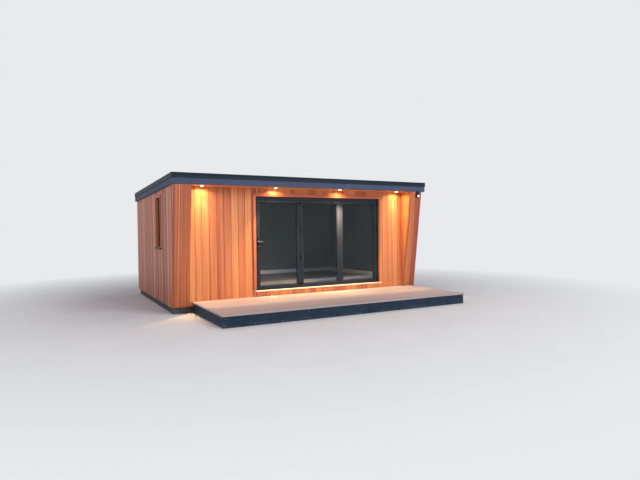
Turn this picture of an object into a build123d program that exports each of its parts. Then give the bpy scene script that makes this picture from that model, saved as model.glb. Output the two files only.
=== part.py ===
from build123d import *
import math
import os

os.makedirs("parts", exist_ok=True)

# A garden office pod, in millimetres. It is drawn with X along the front from the middle of the body, Y
# going in from the face of the recessed front wall, and Z up from the ground that the base and the deck
# stand on. The finished pieces are moved so that the origin lies under the middle of the base.

# Body
body_width = 5404
body_depth = 3697
cladding_thickness = 20
wall_frame_thickness = 125
base_height = 120
base_inset = 40
cladding_lift = 2
floor_cassette_thickness = 182
floor_finish_thickness = 18

# Roof, with its levels measured at the front edge
roof_height = 2500
roof_fall = 77
front_overhang = 347
left_overhang = 45
right_overhang = 98
back_overhang = 60
roof_band_height = 88
roof_band_thickness = 12
roof_band_flange = 74
fascia_height = 113
fascia_thickness = 20
roof_kerb_height = 24
roof_kerb_width = 40
membrane_thickness = 4
soffit_thickness = 18
ceiling_thickness = 13

# Cheeks: tapered side wings that lean forward towards the soffit
cheek_width = 309
cheek_foot = 20
cheek_head = 332

# Folding doors, in a frame behind a timber architrave
door_width = 2882
door_head_drop = 160
door_middle = 346
door_setback = 38
door_frame_depth = 75
door_jamb = 36
door_head = 60
door_threshold = 18
leaf_count = 3
leaf_depth = 65
leaf_gap = 4
leaf_stile = 70
lock_stile = 58
hinge_stile = 86
leaf_top_rail = 66
leaf_bottom_rail = 60
bead_width = 16
bead_step = 5
bead_slope = 8
door_glass_thickness = 28
door_trim_width = 55
door_trim_projection = 22
door_trim_lining = 12
door_sill_height = 20
door_sill_projection = 35
door_sill_ear = 30

# Door furniture
hinge_height = 90
hinge_plate_width = 52
hinge_plate_thickness = 3
hinge_barrel_radius = 8
hinge_rows = 4
hinge_end_distance = 60
handle_plate_width = 36
handle_plate_height = 236
handle_plate_corner = 11
handle_plate_thickness = 9
handle_plate_edge = 4
handle_plate_drop = 48
handle_height = 946
lever_length = 88
lever_radius = 9
lever_reach = 48
lever_bend = 16
lever_drop = 8

# Slot window in the left wall
window_width = 460
window_head_drop = 167
window_middle = 1083
window_foot = 1180
window_setback = 45
window_frame_depth = 70
window_frame_face = 48
window_glass_thickness = 28
window_trim_width = 42
window_trim_projection = 14
window_trim_lining = 12
window_sill_height = 22
window_sill_projection = 38
window_sill_ear = 12

# Deck in front of the doors
deck_left_inset = 370
deck_right_inset = 124
deck_depth = 1757
deck_height = 203
deck_board_thickness = 25
deck_nosing = 22
deck_fascia_thickness = 20
deck_notch_gap = 3
joist_width = 47
joist_count = 13

# Lights
downlight_count = 4
downlight_end_inset = 229
downlight_set_forward = 130
downlight_hole_radius = 36
downlight_rim_radius = 43
downlight_rim_drop = 3
downlight_can_height = 14
downlight_lens_radius = 30
downlight_lens_thickness = 4
downlight_lens_recess = 3
security_light_inset = 112
security_light_drop = 63
security_light_width = 84
security_light_tall = 118
security_light_depth = 46
security_light_corner = 14
security_light_bevel = 6
security_sensor_radius = 24
security_sensor_lift = 30

# Rainwater goods and inside trim
gutter_radius = 56
gutter_wall = 3
gutter_drop = 62
gutter_end_wall = 4
downpipe_radius = 34
downpipe_wall = 3
downpipe_foot = 70
downpipe_edge_distance = 180
bracket_height = 26
bracket_width = 84
bracket_count = 3
skirting_height = 95
skirting_thickness = 14

# Levels and faces worked out from the values above
half_width = body_width / 2
wall_thickness = cladding_thickness + wall_frame_thickness
cladding_foot = base_height + cladding_lift
floor_top = base_height + floor_cassette_thickness
floor_level = floor_top + floor_finish_thickness
room_half_width = half_width - wall_thickness
room_front = wall_thickness
room_back = body_depth - wall_thickness
roof_front = -front_overhang
roof_back = body_depth + back_overhang
roof_left = -half_width - left_overhang
roof_right = half_width + right_overhang
fascia_top = roof_height - roof_band_height
fascia_foot = fascia_top - fascia_height
cassette_foot = fascia_foot + soffit_thickness
cassette_top = roof_height - roof_band_thickness - roof_kerb_height
fascia_front_face = roof_front + roof_band_thickness
cassette_front = fascia_front_face + fascia_thickness
cassette_left = roof_left + roof_band_thickness + fascia_thickness
cassette_right = roof_right - roof_band_thickness - fascia_thickness
cassette_back = roof_back - fascia_thickness
roof_slope = roof_fall / (roof_back - roof_front)
slope_angle = math.atan(roof_slope)
cheek_top = fascia_foot - (front_overhang - cheek_head) * roof_slope
cheek_lean = (cheek_head - cheek_foot) / (cheek_top - cladding_foot)
cheek_angle = math.atan(cheek_lean)
door_left = door_middle - door_width / 2
door_right = door_middle + door_width / 2
door_foot = floor_top + door_sill_height
door_top = fascia_foot - door_head_drop
door_back = door_setback + door_frame_depth
window_front_edge = window_middle - window_width / 2
window_back_edge = window_middle + window_width / 2
window_top = cassette_foot - window_head_drop


def block(x_range, y_range, z_range):
    """A plain box between its lowest and highest X, Y and Z."""
    size = [high - low for low, high in (x_range, y_range, z_range)]
    corner = Location((x_range[0], y_range[0], z_range[0]))
    return corner * Box(*size, align=(Align.MIN, Align.MIN, Align.MIN))


def side_profile(points, x_range):
    """A prism along X whose section is a closed outline of (y, z) points."""
    face = make_face(Plane.YZ * Polyline(*points, close=True))
    return Pos(x_range[0], 0, 0) * extrude(face, x_range[1] - x_range[0])


def at_roof(y, level):
    """The (y, z) point at a depth y on a surface that falls with the roof from its level at the front."""
    return (y, level - (y - roof_front) * roof_slope)


def sloping_slab(x_range, y_range, level_range):
    """A slab between two levels of the falling roof."""
    front, back = y_range
    low, high = level_range
    outline = [at_roof(front, low), at_roof(back, low), at_roof(back, high), at_roof(front, high)]
    return side_profile(outline, x_range)


def wall_slab(x_range, y_range, foot, top_level):
    """An upright slab with a level foot whose head follows the falling roof."""
    front, back = y_range
    outline = [(front, foot), (back, foot), at_roof(back, top_level), at_roof(front, top_level)]
    return side_profile(outline, x_range)


def ring(outer, inner, y_range):
    """An upright frame in the XZ plane, given by the X and Z ranges of its outer and inner edges."""
    return block(outer[0], y_range, outer[1]) - block(inner[0], y_range, inner[1])


def side_ring(outer, inner, x_range):
    """An upright frame in the YZ plane, given by the Y and Z ranges of its outer and inner edges."""
    return block(x_range, outer[0], outer[1]) - block(x_range, inner[0], inner[1])


def grown(limits, amount):
    """A range made longer by the same amount at both ends."""
    return (limits[0] - amount, limits[1] + amount)


def write(name, *solids):
    """Keep one or more solids as a named sub-part, measured from the middle of the base."""
    placed = [Pos(0, -body_depth / 2, 0) * solid for solid in solids]
    shape = placed[0] if len(placed) == 1 else Compound(children=placed)
    export_step(shape, f"parts/{name}.step")


body_x = (-half_width, half_width)
frame_x = grown(body_x, -cladding_thickness)
frame_y = (cladding_thickness, body_depth - cladding_thickness)
room_x = (-room_half_width, room_half_width)
room_y = (room_front, room_back)
door_x = (door_left, door_right)
door_z = (door_foot, door_top)
window_y = (window_front_edge, window_back_edge)
window_z = (window_foot, window_top)
lined_door_x = grown(door_x, door_trim_lining)
lined_door_top = door_top + door_trim_lining
lined_window_y = grown(window_y, window_trim_lining)
lined_window_z = grown(window_z, window_trim_lining)


def base_and_floor():
    """The base slab, the insulated floor cassette and the boards of the finished floor."""
    base = block(grown(body_x, -base_inset), (base_inset, body_depth - base_inset), (0, base_height))
    cassette = block(frame_x, frame_y, (base_height, floor_top))
    finish = block(room_x, room_y, (floor_top, floor_level))
    finish += block(door_x, (door_back, room_front), (floor_top, floor_level))
    write("base_slab", base)
    write("floor_cassette", cassette)
    write("floor_finish", finish)


def walls():
    """The framed walls: side walls run the whole depth, and the front and back walls stand between them.
    The openings are larger than the window and the doors by the linings that go through them."""
    left = wall_slab((frame_x[0], room_x[0]), frame_y, floor_top, cassette_foot)
    left -= block((frame_x[0], room_x[0]), lined_window_y, lined_window_z)
    front_y = (cladding_thickness, room_front)
    write("left_wall", left)
    write("right_wall", wall_slab((room_x[1], frame_x[1]), frame_y, floor_top, cassette_foot))
    back_y = (room_back, frame_y[1])
    write("back_wall", wall_slab(room_x, back_y, floor_top, cassette_foot))
    write("front_wall_left", wall_slab((room_x[0], lined_door_x[0]), front_y, floor_top, cassette_foot))
    write("front_wall_right", wall_slab((lined_door_x[1], room_x[1]), front_y, floor_top, cassette_foot))
    write("front_wall_head", wall_slab(lined_door_x, front_y, lined_door_top, cassette_foot))


def cladding():
    """The timber skins outside the frames, with the window and the doors cut through them."""
    front_x = grown(body_x, -cheek_width)
    front = wall_slab(front_x, (0, cladding_thickness), cladding_foot, fascia_foot)
    front -= block(lined_door_x, (0, cladding_thickness), (floor_top, lined_door_top))
    left_x = (body_x[0], frame_x[0])
    left = wall_slab(left_x, (cladding_thickness, body_depth), cladding_foot, cassette_foot)
    left -= block(left_x, lined_window_y, lined_window_z)
    right_x = (frame_x[1], body_x[1])
    right = wall_slab(right_x, (cladding_thickness, body_depth), cladding_foot, cassette_foot)
    back = wall_slab(frame_x, (frame_y[1], body_depth), cladding_foot, cassette_foot)
    write("front_cladding", front)
    write("left_cladding", left)
    write("right_cladding", right)
    write("back_cladding", back)


def cheek_face(height):
    """The depth of a cheek's leaning front face at a height: straight from its foot to its head."""
    return -cheek_foot - (height - cladding_foot) * cheek_lean


def cheeks():
    """The two wings, each a closed box whose front leans forward from the deck up to the soffit."""
    outline = [
        (-cheek_foot, cladding_foot),
        (cladding_thickness, cladding_foot),
        at_roof(cladding_thickness, fascia_foot),
        at_roof(-cheek_head, fascia_foot),
    ]
    write("left_cheek", side_profile(outline, (body_x[0], body_x[0] + cheek_width)))
    write("right_cheek", side_profile(outline, (body_x[1] - cheek_width, body_x[1])))


def soffit_place(x):
    """The place of a downlight: on the soffit's underside, square to its slope."""
    y, z = at_roof(-downlight_set_forward, fascia_foot)
    normal = (0, math.sin(slope_angle), math.cos(slope_angle))
    return Location(Plane(origin=(x, y, z), x_dir=(1, 0, 0), z_dir=normal))


def disc(radius, low, high):
    """A round slab about the Z axis between two heights."""
    return Pos(0, 0, low) * Cylinder(radius, high - low, align=(Align.CENTER, Align.CENTER, Align.MIN))


def soffit_and_downlights():
    """The soffit board under the front overhang, with its row of recessed round lights."""
    soffit_x = (cassette_left, cassette_right)
    soffit_y = (cassette_front, cladding_thickness)
    soffit = sloping_slab(soffit_x, soffit_y, (fascia_foot, cassette_foot))
    first_x = -half_width + cheek_width + downlight_end_inset
    last_x = half_width - cheek_width - downlight_end_inset
    rims = []
    lenses = []
    for index in range(downlight_count):
        place = soffit_place(first_x + index * (last_x - first_x) / (downlight_count - 1))
        soffit -= place * disc(downlight_hole_radius, -downlight_rim_drop, 2 * soffit_thickness)
        rim = disc(downlight_rim_radius, -downlight_rim_drop, 0)
        rim += disc(downlight_hole_radius, 0, downlight_can_height)
        rim -= disc(downlight_lens_radius, -downlight_rim_drop, downlight_can_height)
        lens_low = downlight_lens_recess
        lens = disc(downlight_lens_radius, lens_low, lens_low + downlight_lens_thickness)
        rims.append(place * rim)
        lenses.append(place * lens)
    write("soffit", soffit)
    write("downlight_rims", *rims)
    write("downlight_lenses", *lenses)


def roof():
    """The roof cassette with its kerbs, the membrane between them and the ceiling below."""
    roof_x = (cassette_left, cassette_right)
    roof_y = (cassette_front, cassette_back)
    kerb_levels = (cassette_top, roof_height - roof_band_thickness)
    cassette = sloping_slab(roof_x, roof_y, (cassette_foot, cassette_top))
    cassette += sloping_slab(roof_x, (cassette_front, cassette_front + roof_kerb_width), kerb_levels)
    cassette += sloping_slab((cassette_left, cassette_left + roof_kerb_width), roof_y, kerb_levels)
    cassette += sloping_slab((cassette_right - roof_kerb_width, cassette_right), roof_y, kerb_levels)
    membrane_x = grown(roof_x, -roof_kerb_width)
    membrane_y = (cassette_front + roof_kerb_width, roof_back)
    membrane = sloping_slab(membrane_x, membrane_y, (cassette_top, cassette_top + membrane_thickness))
    ceiling = sloping_slab(room_x, room_y, (cassette_foot - ceiling_thickness, cassette_foot))
    write("roof_cassette", cassette)
    write("roof_membrane", membrane)
    write("ceiling", ceiling)


def fascias():
    """The lower bands around the roof's edge, which stand a little back from the band above them."""
    left_x = (cassette_left - fascia_thickness, cassette_left)
    right_x = (cassette_right, cassette_right + fascia_thickness)
    levels = (fascia_foot, roof_height - roof_band_thickness)
    front_y = (fascia_front_face, cassette_front)
    side_y = (cassette_front, cassette_back)
    front_x = (left_x[0], right_x[1])
    front = sloping_slab(front_x, front_y, levels)
    left = sloping_slab(left_x, side_y, levels)
    right = sloping_slab(right_x, side_y, levels)
    back = sloping_slab(front_x, (cassette_back, roof_back), (fascia_foot, cassette_top))
    write("fascia_front", front)
    write("fascia_sides", left, right)
    write("fascia_back", back)


def roof_bands():
    """The dark upper band: an angle whose upright covers the kerb and whose flange lies on top of it."""
    levels = (fascia_top, roof_height)
    flange_levels = (roof_height - roof_band_thickness, roof_height)
    flange_back = roof_front + roof_band_flange
    front = sloping_slab((roof_left, roof_right), (roof_front, fascia_front_face), levels)
    front += sloping_slab((roof_left, roof_right), (roof_front, flange_back), flange_levels)
    side_y = (flange_back, roof_back)
    left = sloping_slab((roof_left, roof_left + roof_band_thickness), side_y, levels)
    left += sloping_slab((roof_left, roof_left + roof_band_flange), side_y, flange_levels)
    right = sloping_slab((roof_right - roof_band_thickness, roof_right), side_y, levels)
    right += sloping_slab((roof_right - roof_band_flange, roof_right), side_y, flange_levels)
    return_y = (fascia_front_face, flange_back)
    front += sloping_slab((roof_left, roof_left + roof_band_thickness), return_y, levels)
    front += sloping_slab((roof_right - roof_band_thickness, roof_right), return_y, levels)
    write("roof_band_front", front)
    write("roof_band_sides", left, right)


def bead_space(width, height, place):
    """The space before the bead round a pane, to cut from its frame: straight in from the frame's face to
    the bead's step, and from there sloping in to the edge of the glass. It is drawn in the frame's face,
    with Z going into the frame, and put in its place."""
    wide = width + 2 * bead_width
    tall = height + 2 * bead_width
    step = Box(wide, tall, bead_step, align=(Align.CENTER, Align.CENTER, Align.MIN))
    outer = Pos(0, 0, bead_step) * Rectangle(wide, tall)
    inner = Pos(0, 0, bead_step + bead_slope) * Rectangle(width, height)
    return place * (step + loft([outer, inner]))


def door_set():
    """The door frame, and the leaves that stand in it with their panes between the beads."""
    inner_x = grown(door_x, -door_jamb)
    inner_z = (door_foot + door_threshold, door_top - door_head)
    frame = ring((door_x, door_z), (inner_x, inner_z), (door_setback, door_back))
    write("door_frame", frame)
    clear_width = inner_x[1] - inner_x[0]
    leaf_width = (clear_width - (leaf_count + 1) * leaf_gap) / leaf_count
    leaf_y = (door_setback, door_setback + leaf_depth)
    leaf_z = (inner_z[0], inner_z[1] - leaf_gap)
    glass_z = (leaf_z[0] + leaf_bottom_rail, leaf_z[1] - leaf_top_rail)
    glass_middle = sum(leaf_y) / 2
    glass_y = (glass_middle - door_glass_thickness / 2, glass_middle + door_glass_thickness / 2)
    panes = []
    leaf_x_ranges = []
    for index in range(leaf_count):
        left = inner_x[0] + leaf_gap + index * (leaf_width + leaf_gap)
        leaf_x = (left, left + leaf_width)
        left_stile = lock_stile if index == 0 else leaf_stile
        right_stile = hinge_stile if index == leaf_count - 1 else leaf_stile
        glass_x = (leaf_x[0] + left_stile, leaf_x[1] - right_stile)
        leaf = ring((leaf_x, leaf_z), (glass_x, glass_z), leaf_y)
        face_middle = (sum(glass_x) / 2, leaf_y[0], sum(glass_z) / 2)
        face = Location(Plane(origin=face_middle, x_dir=(1, 0, 0), z_dir=(0, 1, 0)))
        leaf -= bead_space(glass_x[1] - glass_x[0], glass_z[1] - glass_z[0], face)
        write(f"door_leaf_{index + 1}", leaf)
        panes.append(block(glass_x, glass_y, glass_z))
        leaf_x_ranges.append(leaf_x)
    write("door_glass", *panes)
    door_furniture(leaf_x_ranges, leaf_y[0], leaf_z)


def knuckle_hinge(joint_x, leaf_face, middle):
    """A hinge whose flat plate lies across a joint between two faces, with its round barrel before it."""
    plate_x = grown((joint_x, joint_x), hinge_plate_width / 2)
    hinge_z = grown((middle, middle), hinge_height / 2)
    hinge = block(plate_x, (leaf_face - hinge_plate_thickness, leaf_face), hinge_z)
    barrel_y = leaf_face - hinge_plate_thickness - hinge_barrel_radius / 2
    hinge += Pos(joint_x, barrel_y, middle) * Cylinder(hinge_barrel_radius, hinge_height)
    hinge -= block(plate_x, (leaf_face, leaf_face + hinge_barrel_radius), hinge_z)
    return hinge


def door_furniture(leaf_x_ranges, leaf_face, leaf_z):
    """The knuckle hinges over the joints that fold outwards, of the first leaf to the second and of the last
    to the frame, and the lever handle on the first leaf."""
    low = leaf_z[0] + hinge_end_distance
    high = leaf_z[1] - hinge_end_distance
    hinges = []
    for joint_x in (leaf_x_ranges[0][1] + leaf_gap / 2, leaf_x_ranges[-1][1] + leaf_gap / 2):
        for row in range(hinge_rows):
            hinges.append(knuckle_hinge(joint_x, leaf_face, low + row * (high - low) / (hinge_rows - 1)))
    write("door_hinges", *hinges)
    plate_left = leaf_x_ranges[0][0] + handle_plate_edge
    plate_x = (plate_left, plate_left + handle_plate_width)
    spindle_x = sum(plate_x) / 2
    spindle_z = door_foot + handle_height
    plate_z = grown((spindle_z - handle_plate_drop,) * 2, handle_plate_height / 2)
    plate = block(plate_x, (leaf_face - handle_plate_thickness, leaf_face), plate_z)
    plate = fillet(plate.edges().filter_by(Axis.Y), handle_plate_corner)
    lever_face = leaf_face - lever_reach
    path = FilletPolyline(
        (spindle_x, leaf_face - handle_plate_thickness / 2, spindle_z),
        (spindle_x, lever_face, spindle_z),
        (spindle_x + lever_length, lever_face, spindle_z - lever_drop),
        radius=lever_bend,
    )
    lever = sweep(Plane(origin=path @ 0, z_dir=path % 0) * Circle(lever_radius), path)
    write("door_handle", plate + lever)


def door_surround():
    """The timber architrave round three sides of the doors, with the lining that goes in through the wall
    behind it, and the pale sill that the doors stand on."""
    trim_x = grown(door_x, door_trim_width)
    trim_z = (door_foot, door_top + door_trim_width)
    trim = block(trim_x, (-door_trim_projection, 0), trim_z)
    trim += block(lined_door_x, (0, door_back), (door_foot, lined_door_top))
    trim += block(lined_door_x, (door_back, room_front), (floor_top, lined_door_top))
    trim -= block(door_x, (-door_trim_projection, room_front), (floor_top, door_top))
    sill_front = block(grown(door_x, door_sill_ear), (-door_sill_projection, 0), (floor_top, door_foot))
    sill = sill_front + block(lined_door_x, (0, door_back), (floor_top, door_foot))
    write("door_trim", trim)
    write("door_sill", sill)


def window():
    """The slot window: its frame and glass, a timber lining and trim, and a dark sill."""
    face_x = -half_width
    frame_x_range = (face_x + window_setback, face_x + window_setback + window_frame_depth)
    clear_y = grown(window_y, -window_frame_face)
    clear_z = grown(window_z, -window_frame_face)
    middle_x = sum(frame_x_range) / 2
    glass_x = (middle_x - window_glass_thickness / 2, middle_x + window_glass_thickness / 2)
    frame = side_ring((window_y, window_z), (clear_y, clear_z), frame_x_range)
    face_middle = (frame_x_range[0], sum(clear_y) / 2, sum(clear_z) / 2)
    face = Location(Plane(origin=face_middle, x_dir=(0, -1, 0), z_dir=(1, 0, 0)))
    frame -= bead_space(clear_y[1] - clear_y[0], clear_z[1] - clear_z[0], face)
    write("window_frame", frame)
    write("window_glass", block(glass_x, clear_y, clear_z))
    trim_y = grown(window_y, window_trim_width)
    trim_z = (window_foot - window_trim_lining, window_top + window_trim_width)
    trim = block((face_x - window_trim_projection, face_x), trim_y, trim_z)
    trim += block((face_x, face_x + wall_thickness), lined_window_y, lined_window_z)
    trim -= block((face_x - window_trim_projection, face_x + wall_thickness), window_y, window_z)
    sill_top = trim_z[0]
    sill_x = (face_x - window_sill_projection, face_x)
    sill = block(sill_x, grown(trim_y, window_sill_ear), (sill_top - window_sill_height, sill_top))
    write("window_trim", trim)
    write("window_sill", sill)


def deck():
    """The raised deck: its boards, the joists that carry them and the dark boards round its edge."""
    board_foot = deck_height - deck_board_thickness
    deck_x = (-half_width + deck_left_inset, half_width - deck_right_inset)
    edge_x = grown(deck_x, -deck_nosing)
    joist_x = grown(edge_x, -deck_fascia_thickness)
    edge_front = -deck_depth + deck_nosing
    joist_front = edge_front + deck_fascia_thickness
    edge_z = (0, board_foot)
    cheek_front = cheek_face(deck_height) - deck_notch_gap
    left_notch_x = (body_x[0] - deck_notch_gap, body_x[0] + cheek_width + deck_notch_gap)
    right_notch_x = (body_x[1] - cheek_width - deck_notch_gap, body_x[1] + deck_notch_gap)
    notches = block(left_notch_x, (cheek_front, 0), (0, deck_height))
    notches += block(right_notch_x, (cheek_front, 0), (0, deck_height))
    boards = block(deck_x, (-deck_depth, 0), (board_foot, deck_height))
    left = block((edge_x[0], joist_x[0]), (joist_front, 0), edge_z)
    right = block((joist_x[1], edge_x[1]), (joist_front, 0), edge_z)
    joist_pitch = (joist_x[1] - joist_x[0] - joist_width) / (joist_count - 1)
    joists = []
    for index in range(joist_count):
        low = joist_x[0] + index * joist_pitch
        joists.append(block((low, low + joist_width), (joist_front, 0), edge_z) - notches)
    write("deck_boards", boards - notches)
    write("deck_joists", *joists)
    write("deck_fascia_front", block(edge_x, (edge_front, joist_front), edge_z))
    write("deck_fascia_sides", left - notches, right - notches)


def security_light():
    """A small light with a motion sensor, on the leaning front of the right cheek."""
    normal = (0, -math.cos(cheek_angle), -math.sin(cheek_angle))
    height = fascia_foot - security_light_drop
    face_point = (half_width - security_light_inset, cheek_face(height), height)
    place = Location(Plane(origin=face_point, x_dir=(1, 0, 0), z_dir=normal))
    housing = Box(
        security_light_width,
        security_light_tall,
        security_light_depth,
        align=(Align.CENTER, Align.CENTER, Align.MIN),
    )
    housing = fillet(housing.edges().filter_by(Axis.Z), security_light_corner)
    housing = chamfer(housing.faces().sort_by(Axis.Z)[-1].edges(), security_light_bevel)
    sensor = Pos(0, security_sensor_lift, security_light_depth) * Sphere(security_sensor_radius)
    sensor -= block(
        (-security_light_width, security_light_width),
        (-security_light_tall, security_light_tall),
        (-security_light_depth, security_light_depth),
    )
    write("security_light", place * (housing + sensor))


def rainwater():
    """The half-round gutter behind the back fascia and its downpipe, held off the back wall by brackets."""
    middle_y = roof_back + gutter_radius
    rim_z = at_roof(roof_back, roof_height)[1] - gutter_drop
    gutter_x = (cassette_left, cassette_right)
    gutter_length = gutter_x[1] - gutter_x[0]
    along = Pos(sum(gutter_x) / 2, middle_y, rim_z) * Rot(0, 90, 0)
    trough = along * Cylinder(gutter_radius, gutter_length)
    trough -= along * Cylinder(gutter_radius - gutter_wall, gutter_length - 2 * gutter_end_wall)
    upper_y = grown((middle_y, middle_y), 2 * gutter_radius)
    trough -= block(grown(gutter_x, gutter_end_wall), upper_y, (rim_z, rim_z + 2 * gutter_radius))
    pipe_x = half_width - downpipe_edge_distance
    pipe_top = rim_z - gutter_radius + gutter_wall
    pipe_z = (downpipe_foot, pipe_top)
    bore = disc(downpipe_radius - downpipe_wall, downpipe_foot, pipe_top + 2 * gutter_wall)
    trough -= Pos(pipe_x, middle_y, 0) * bore
    pipe = Pos(pipe_x, middle_y, 0) * disc(downpipe_radius, *pipe_z)
    low = pipe_z[0] + bracket_height
    pitch = (pipe_z[1] - pipe_z[0]) / bracket_count
    for index in range(bracket_count):
        bracket_z = (low + index * pitch, low + index * pitch + bracket_height)
        pipe += block(grown((pipe_x, pipe_x), bracket_width / 2), (body_depth, middle_y), bracket_z)
    pipe -= Pos(pipe_x, middle_y, 0) * bore
    pipe -= along * Cylinder(gutter_radius, gutter_length)
    write("gutter", trough)
    write("downpipe", pipe)


def skirting():
    """The skirting board round the room, which stops at the doors."""
    skirting_z = (floor_level, floor_level + skirting_height)
    inner = (grown(room_x, -skirting_thickness), grown(room_y, -skirting_thickness))
    board = block(room_x, room_y, skirting_z) - block(inner[0], inner[1], skirting_z)
    board -= block(door_x, (room_front, inner[1][0]), skirting_z)
    write("skirting", board)


base_and_floor()
walls()
cladding()
cheeks()
soffit_and_downlights()
roof()
fascias()
roof_bands()
door_set()
door_surround()
window()
deck()
security_light()
rainwater()
skirting()
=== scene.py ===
import math

import bpy
import numpy as np
from mathutils import Matrix, Vector


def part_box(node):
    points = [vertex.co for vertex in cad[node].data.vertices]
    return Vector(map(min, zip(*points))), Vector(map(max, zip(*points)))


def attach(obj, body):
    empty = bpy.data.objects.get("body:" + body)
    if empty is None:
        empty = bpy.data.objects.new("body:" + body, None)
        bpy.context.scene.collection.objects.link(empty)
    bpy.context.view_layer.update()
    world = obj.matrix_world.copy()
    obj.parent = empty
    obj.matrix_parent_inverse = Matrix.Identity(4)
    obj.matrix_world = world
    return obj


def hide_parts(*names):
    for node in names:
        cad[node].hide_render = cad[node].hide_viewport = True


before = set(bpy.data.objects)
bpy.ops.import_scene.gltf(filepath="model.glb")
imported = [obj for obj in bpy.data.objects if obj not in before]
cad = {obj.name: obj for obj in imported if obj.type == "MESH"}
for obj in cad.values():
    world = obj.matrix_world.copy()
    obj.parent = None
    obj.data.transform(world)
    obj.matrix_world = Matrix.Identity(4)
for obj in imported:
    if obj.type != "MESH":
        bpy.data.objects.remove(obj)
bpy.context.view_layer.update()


# Base slab: concrete cast on the ground, set back under the cladding so that it reads as a dark plinth.
# It was struck off against boards, which left faint level lines and pinholes in its edge.
def tone(red, green, blue):
    """A colour given by its 0 to 255 values on a screen, as the light values that a shader takes."""
    shares = np.array([red, green, blue]) / 255
    linear = np.where(shares <= 0.04045, shares / 12.92, ((shares + 0.055) / 1.055) ** 2.4)
    return (*linear.tolist(), 1.0)


class Finish:
    """A material being mixed. Each method adds nodes, takes numbers, colours or sockets, and returns the
    last node's output socket. Constants of the surface are set straight on the shader."""

    def __init__(self, name, **constants):
        self.material = bpy.data.materials.new(name)
        self.material.use_nodes = True
        self.tree = self.material.node_tree
        self.shader = self.tree.nodes["Principled BSDF"]
        for socket, value in constants.items():
            self.shader.inputs[socket.replace("_", " ")].default_value = value
        self.place = self.node("ShaderNodeTexCoord").outputs["Object"]

    def node(self, kind, **settings):
        added = self.tree.nodes.new(kind)
        for setting, value in settings.items():
            setattr(added, setting, value)
        return added

    def feed(self, added, inputs, output=0):
        for socket, value in inputs.items():
            target = added.inputs[socket]
            if isinstance(value, bpy.types.NodeSocket):
                self.tree.links.new(value, target)
            else:
                target.default_value = value
        return added.outputs[output]

    def math(self, operation, *values):
        return self.feed(self.node("ShaderNodeMath", operation=operation), dict(enumerate(values)))

    def vectors(self, operation, *values, output=0):
        added = self.node("ShaderNodeVectorMath", operation=operation)
        return self.feed(added, dict(enumerate(values)), output)

    def stretched(self, vector, factors):
        return self.vectors("MULTIPLY", vector, factors)

    def length(self, vector):
        return self.vectors("LENGTH", vector, output="Value")

    def along(self, direction, vector=None):
        """How far a point lies along a direction: their dot product."""
        return self.vectors("DOT_PRODUCT", vector or self.place, direction, output="Value")

    def split(self, vector):
        added = self.node("ShaderNodeSeparateXYZ")
        self.feed(added, {0: vector})
        return tuple(added.outputs)

    def joined(self, x, y, z):
        return self.feed(self.node("ShaderNodeCombineXYZ"), {0: x, 1: y, 2: z})

    def timber(self, shifts):
        """What a timber piece's mesh carries: the place in each board and the board's chances. The third
        socket is that place shifted by the chances, so that no two boards share their pattern."""
        added = [self.node("ShaderNodeAttribute", attribute_name=name) for name in ("grain", "board")]
        grain, chances = [attribute.outputs["Vector"] for attribute in added]
        return grain, chances, self.vectors("ADD", grain, self.stretched(chances, shifts))

    def noise(self, vector, scale, detail=2.0, roughness=0.5, distortion=0.0):
        inputs = {"Vector": vector, "Scale": scale, "Detail": detail, "Roughness": roughness}
        return self.feed(self.node("ShaderNodeTexNoise"), inputs | {"Distortion": distortion})

    def drawn(self, vector, factors, *settings):
        """Noise drawn out: its cells are as long along each axis as one over that axis's factor."""
        return self.noise(self.stretched(vector, factors), 1.0, *settings)

    def chance(self, number):
        """Three even random numbers for each whole number."""
        added = self.node("ShaderNodeTexWhiteNoise", noise_dimensions="1D")
        colour = self.feed(added, {"W": number}, "Color")
        split = self.node("ShaderNodeSeparateColor")
        self.feed(split, {0: colour})
        return tuple(split.outputs)

    def ramp(self, factor, stops):
        added = self.node("ShaderNodeValToRGB")
        band = added.color_ramp
        while len(band.elements) < len(stops):
            band.elements.new(0.5)
        for element, (position, colour) in zip(band.elements, stops):
            element.position = position
            element.color = colour
        return self.feed(added, {0: factor})

    def tones(self, factor, first, second, low=0.3, high=0.7):
        """A value as a colour: one tone up to the low level, another from the high one, a mix between."""
        return self.ramp(factor, [(low, tone(*first)), (high, tone(*second))])

    def level(self, value, low, high, to_low=0.0, to_high=1.0):
        """A value carried from one range to another in a straight line, and held at its ends."""
        return self.feed(self.node("ShaderNodeMapRange"), {0: value, 1: low, 2: high, 3: to_low, 4: to_high})

    def mix(self, factor, first, second, blend="MIX"):
        added = self.node("ShaderNodeMix", data_type="RGBA", blend_type=blend)
        self.feed(added, {0: factor})
        return self.feed(added, {6: first, 7: second}, 2)

    def shaded(self, share, colour, value, *levels):
        """A colour multiplied, by a share, with a value that is first carried through any levels given."""
        value = self.level(value, *levels) if levels else value
        return self.mix(share, colour, self.joined(value, value, value), "MULTIPLY")

    def coat(self, colour, roughness, height=None, relief=0.001, strength=1.0):
        """Joins the colour, the roughness and the relief in metres to the shader, and gives the material."""
        self.feed(self.shader, {"Base Color": colour, "Roughness": roughness})
        if height is not None:
            bump = self.node("ShaderNodeBump")
            normal = self.feed(bump, {"Height": height, "Strength": strength, "Distance": relief})
            self.feed(self.shader, {"Normal": normal})
        return self.material


def refinish(material, *names):
    """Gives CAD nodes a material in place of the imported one."""
    for name in names:
        slots = cad[name].data.materials
        slots.clear()
        slots.append(material)


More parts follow.
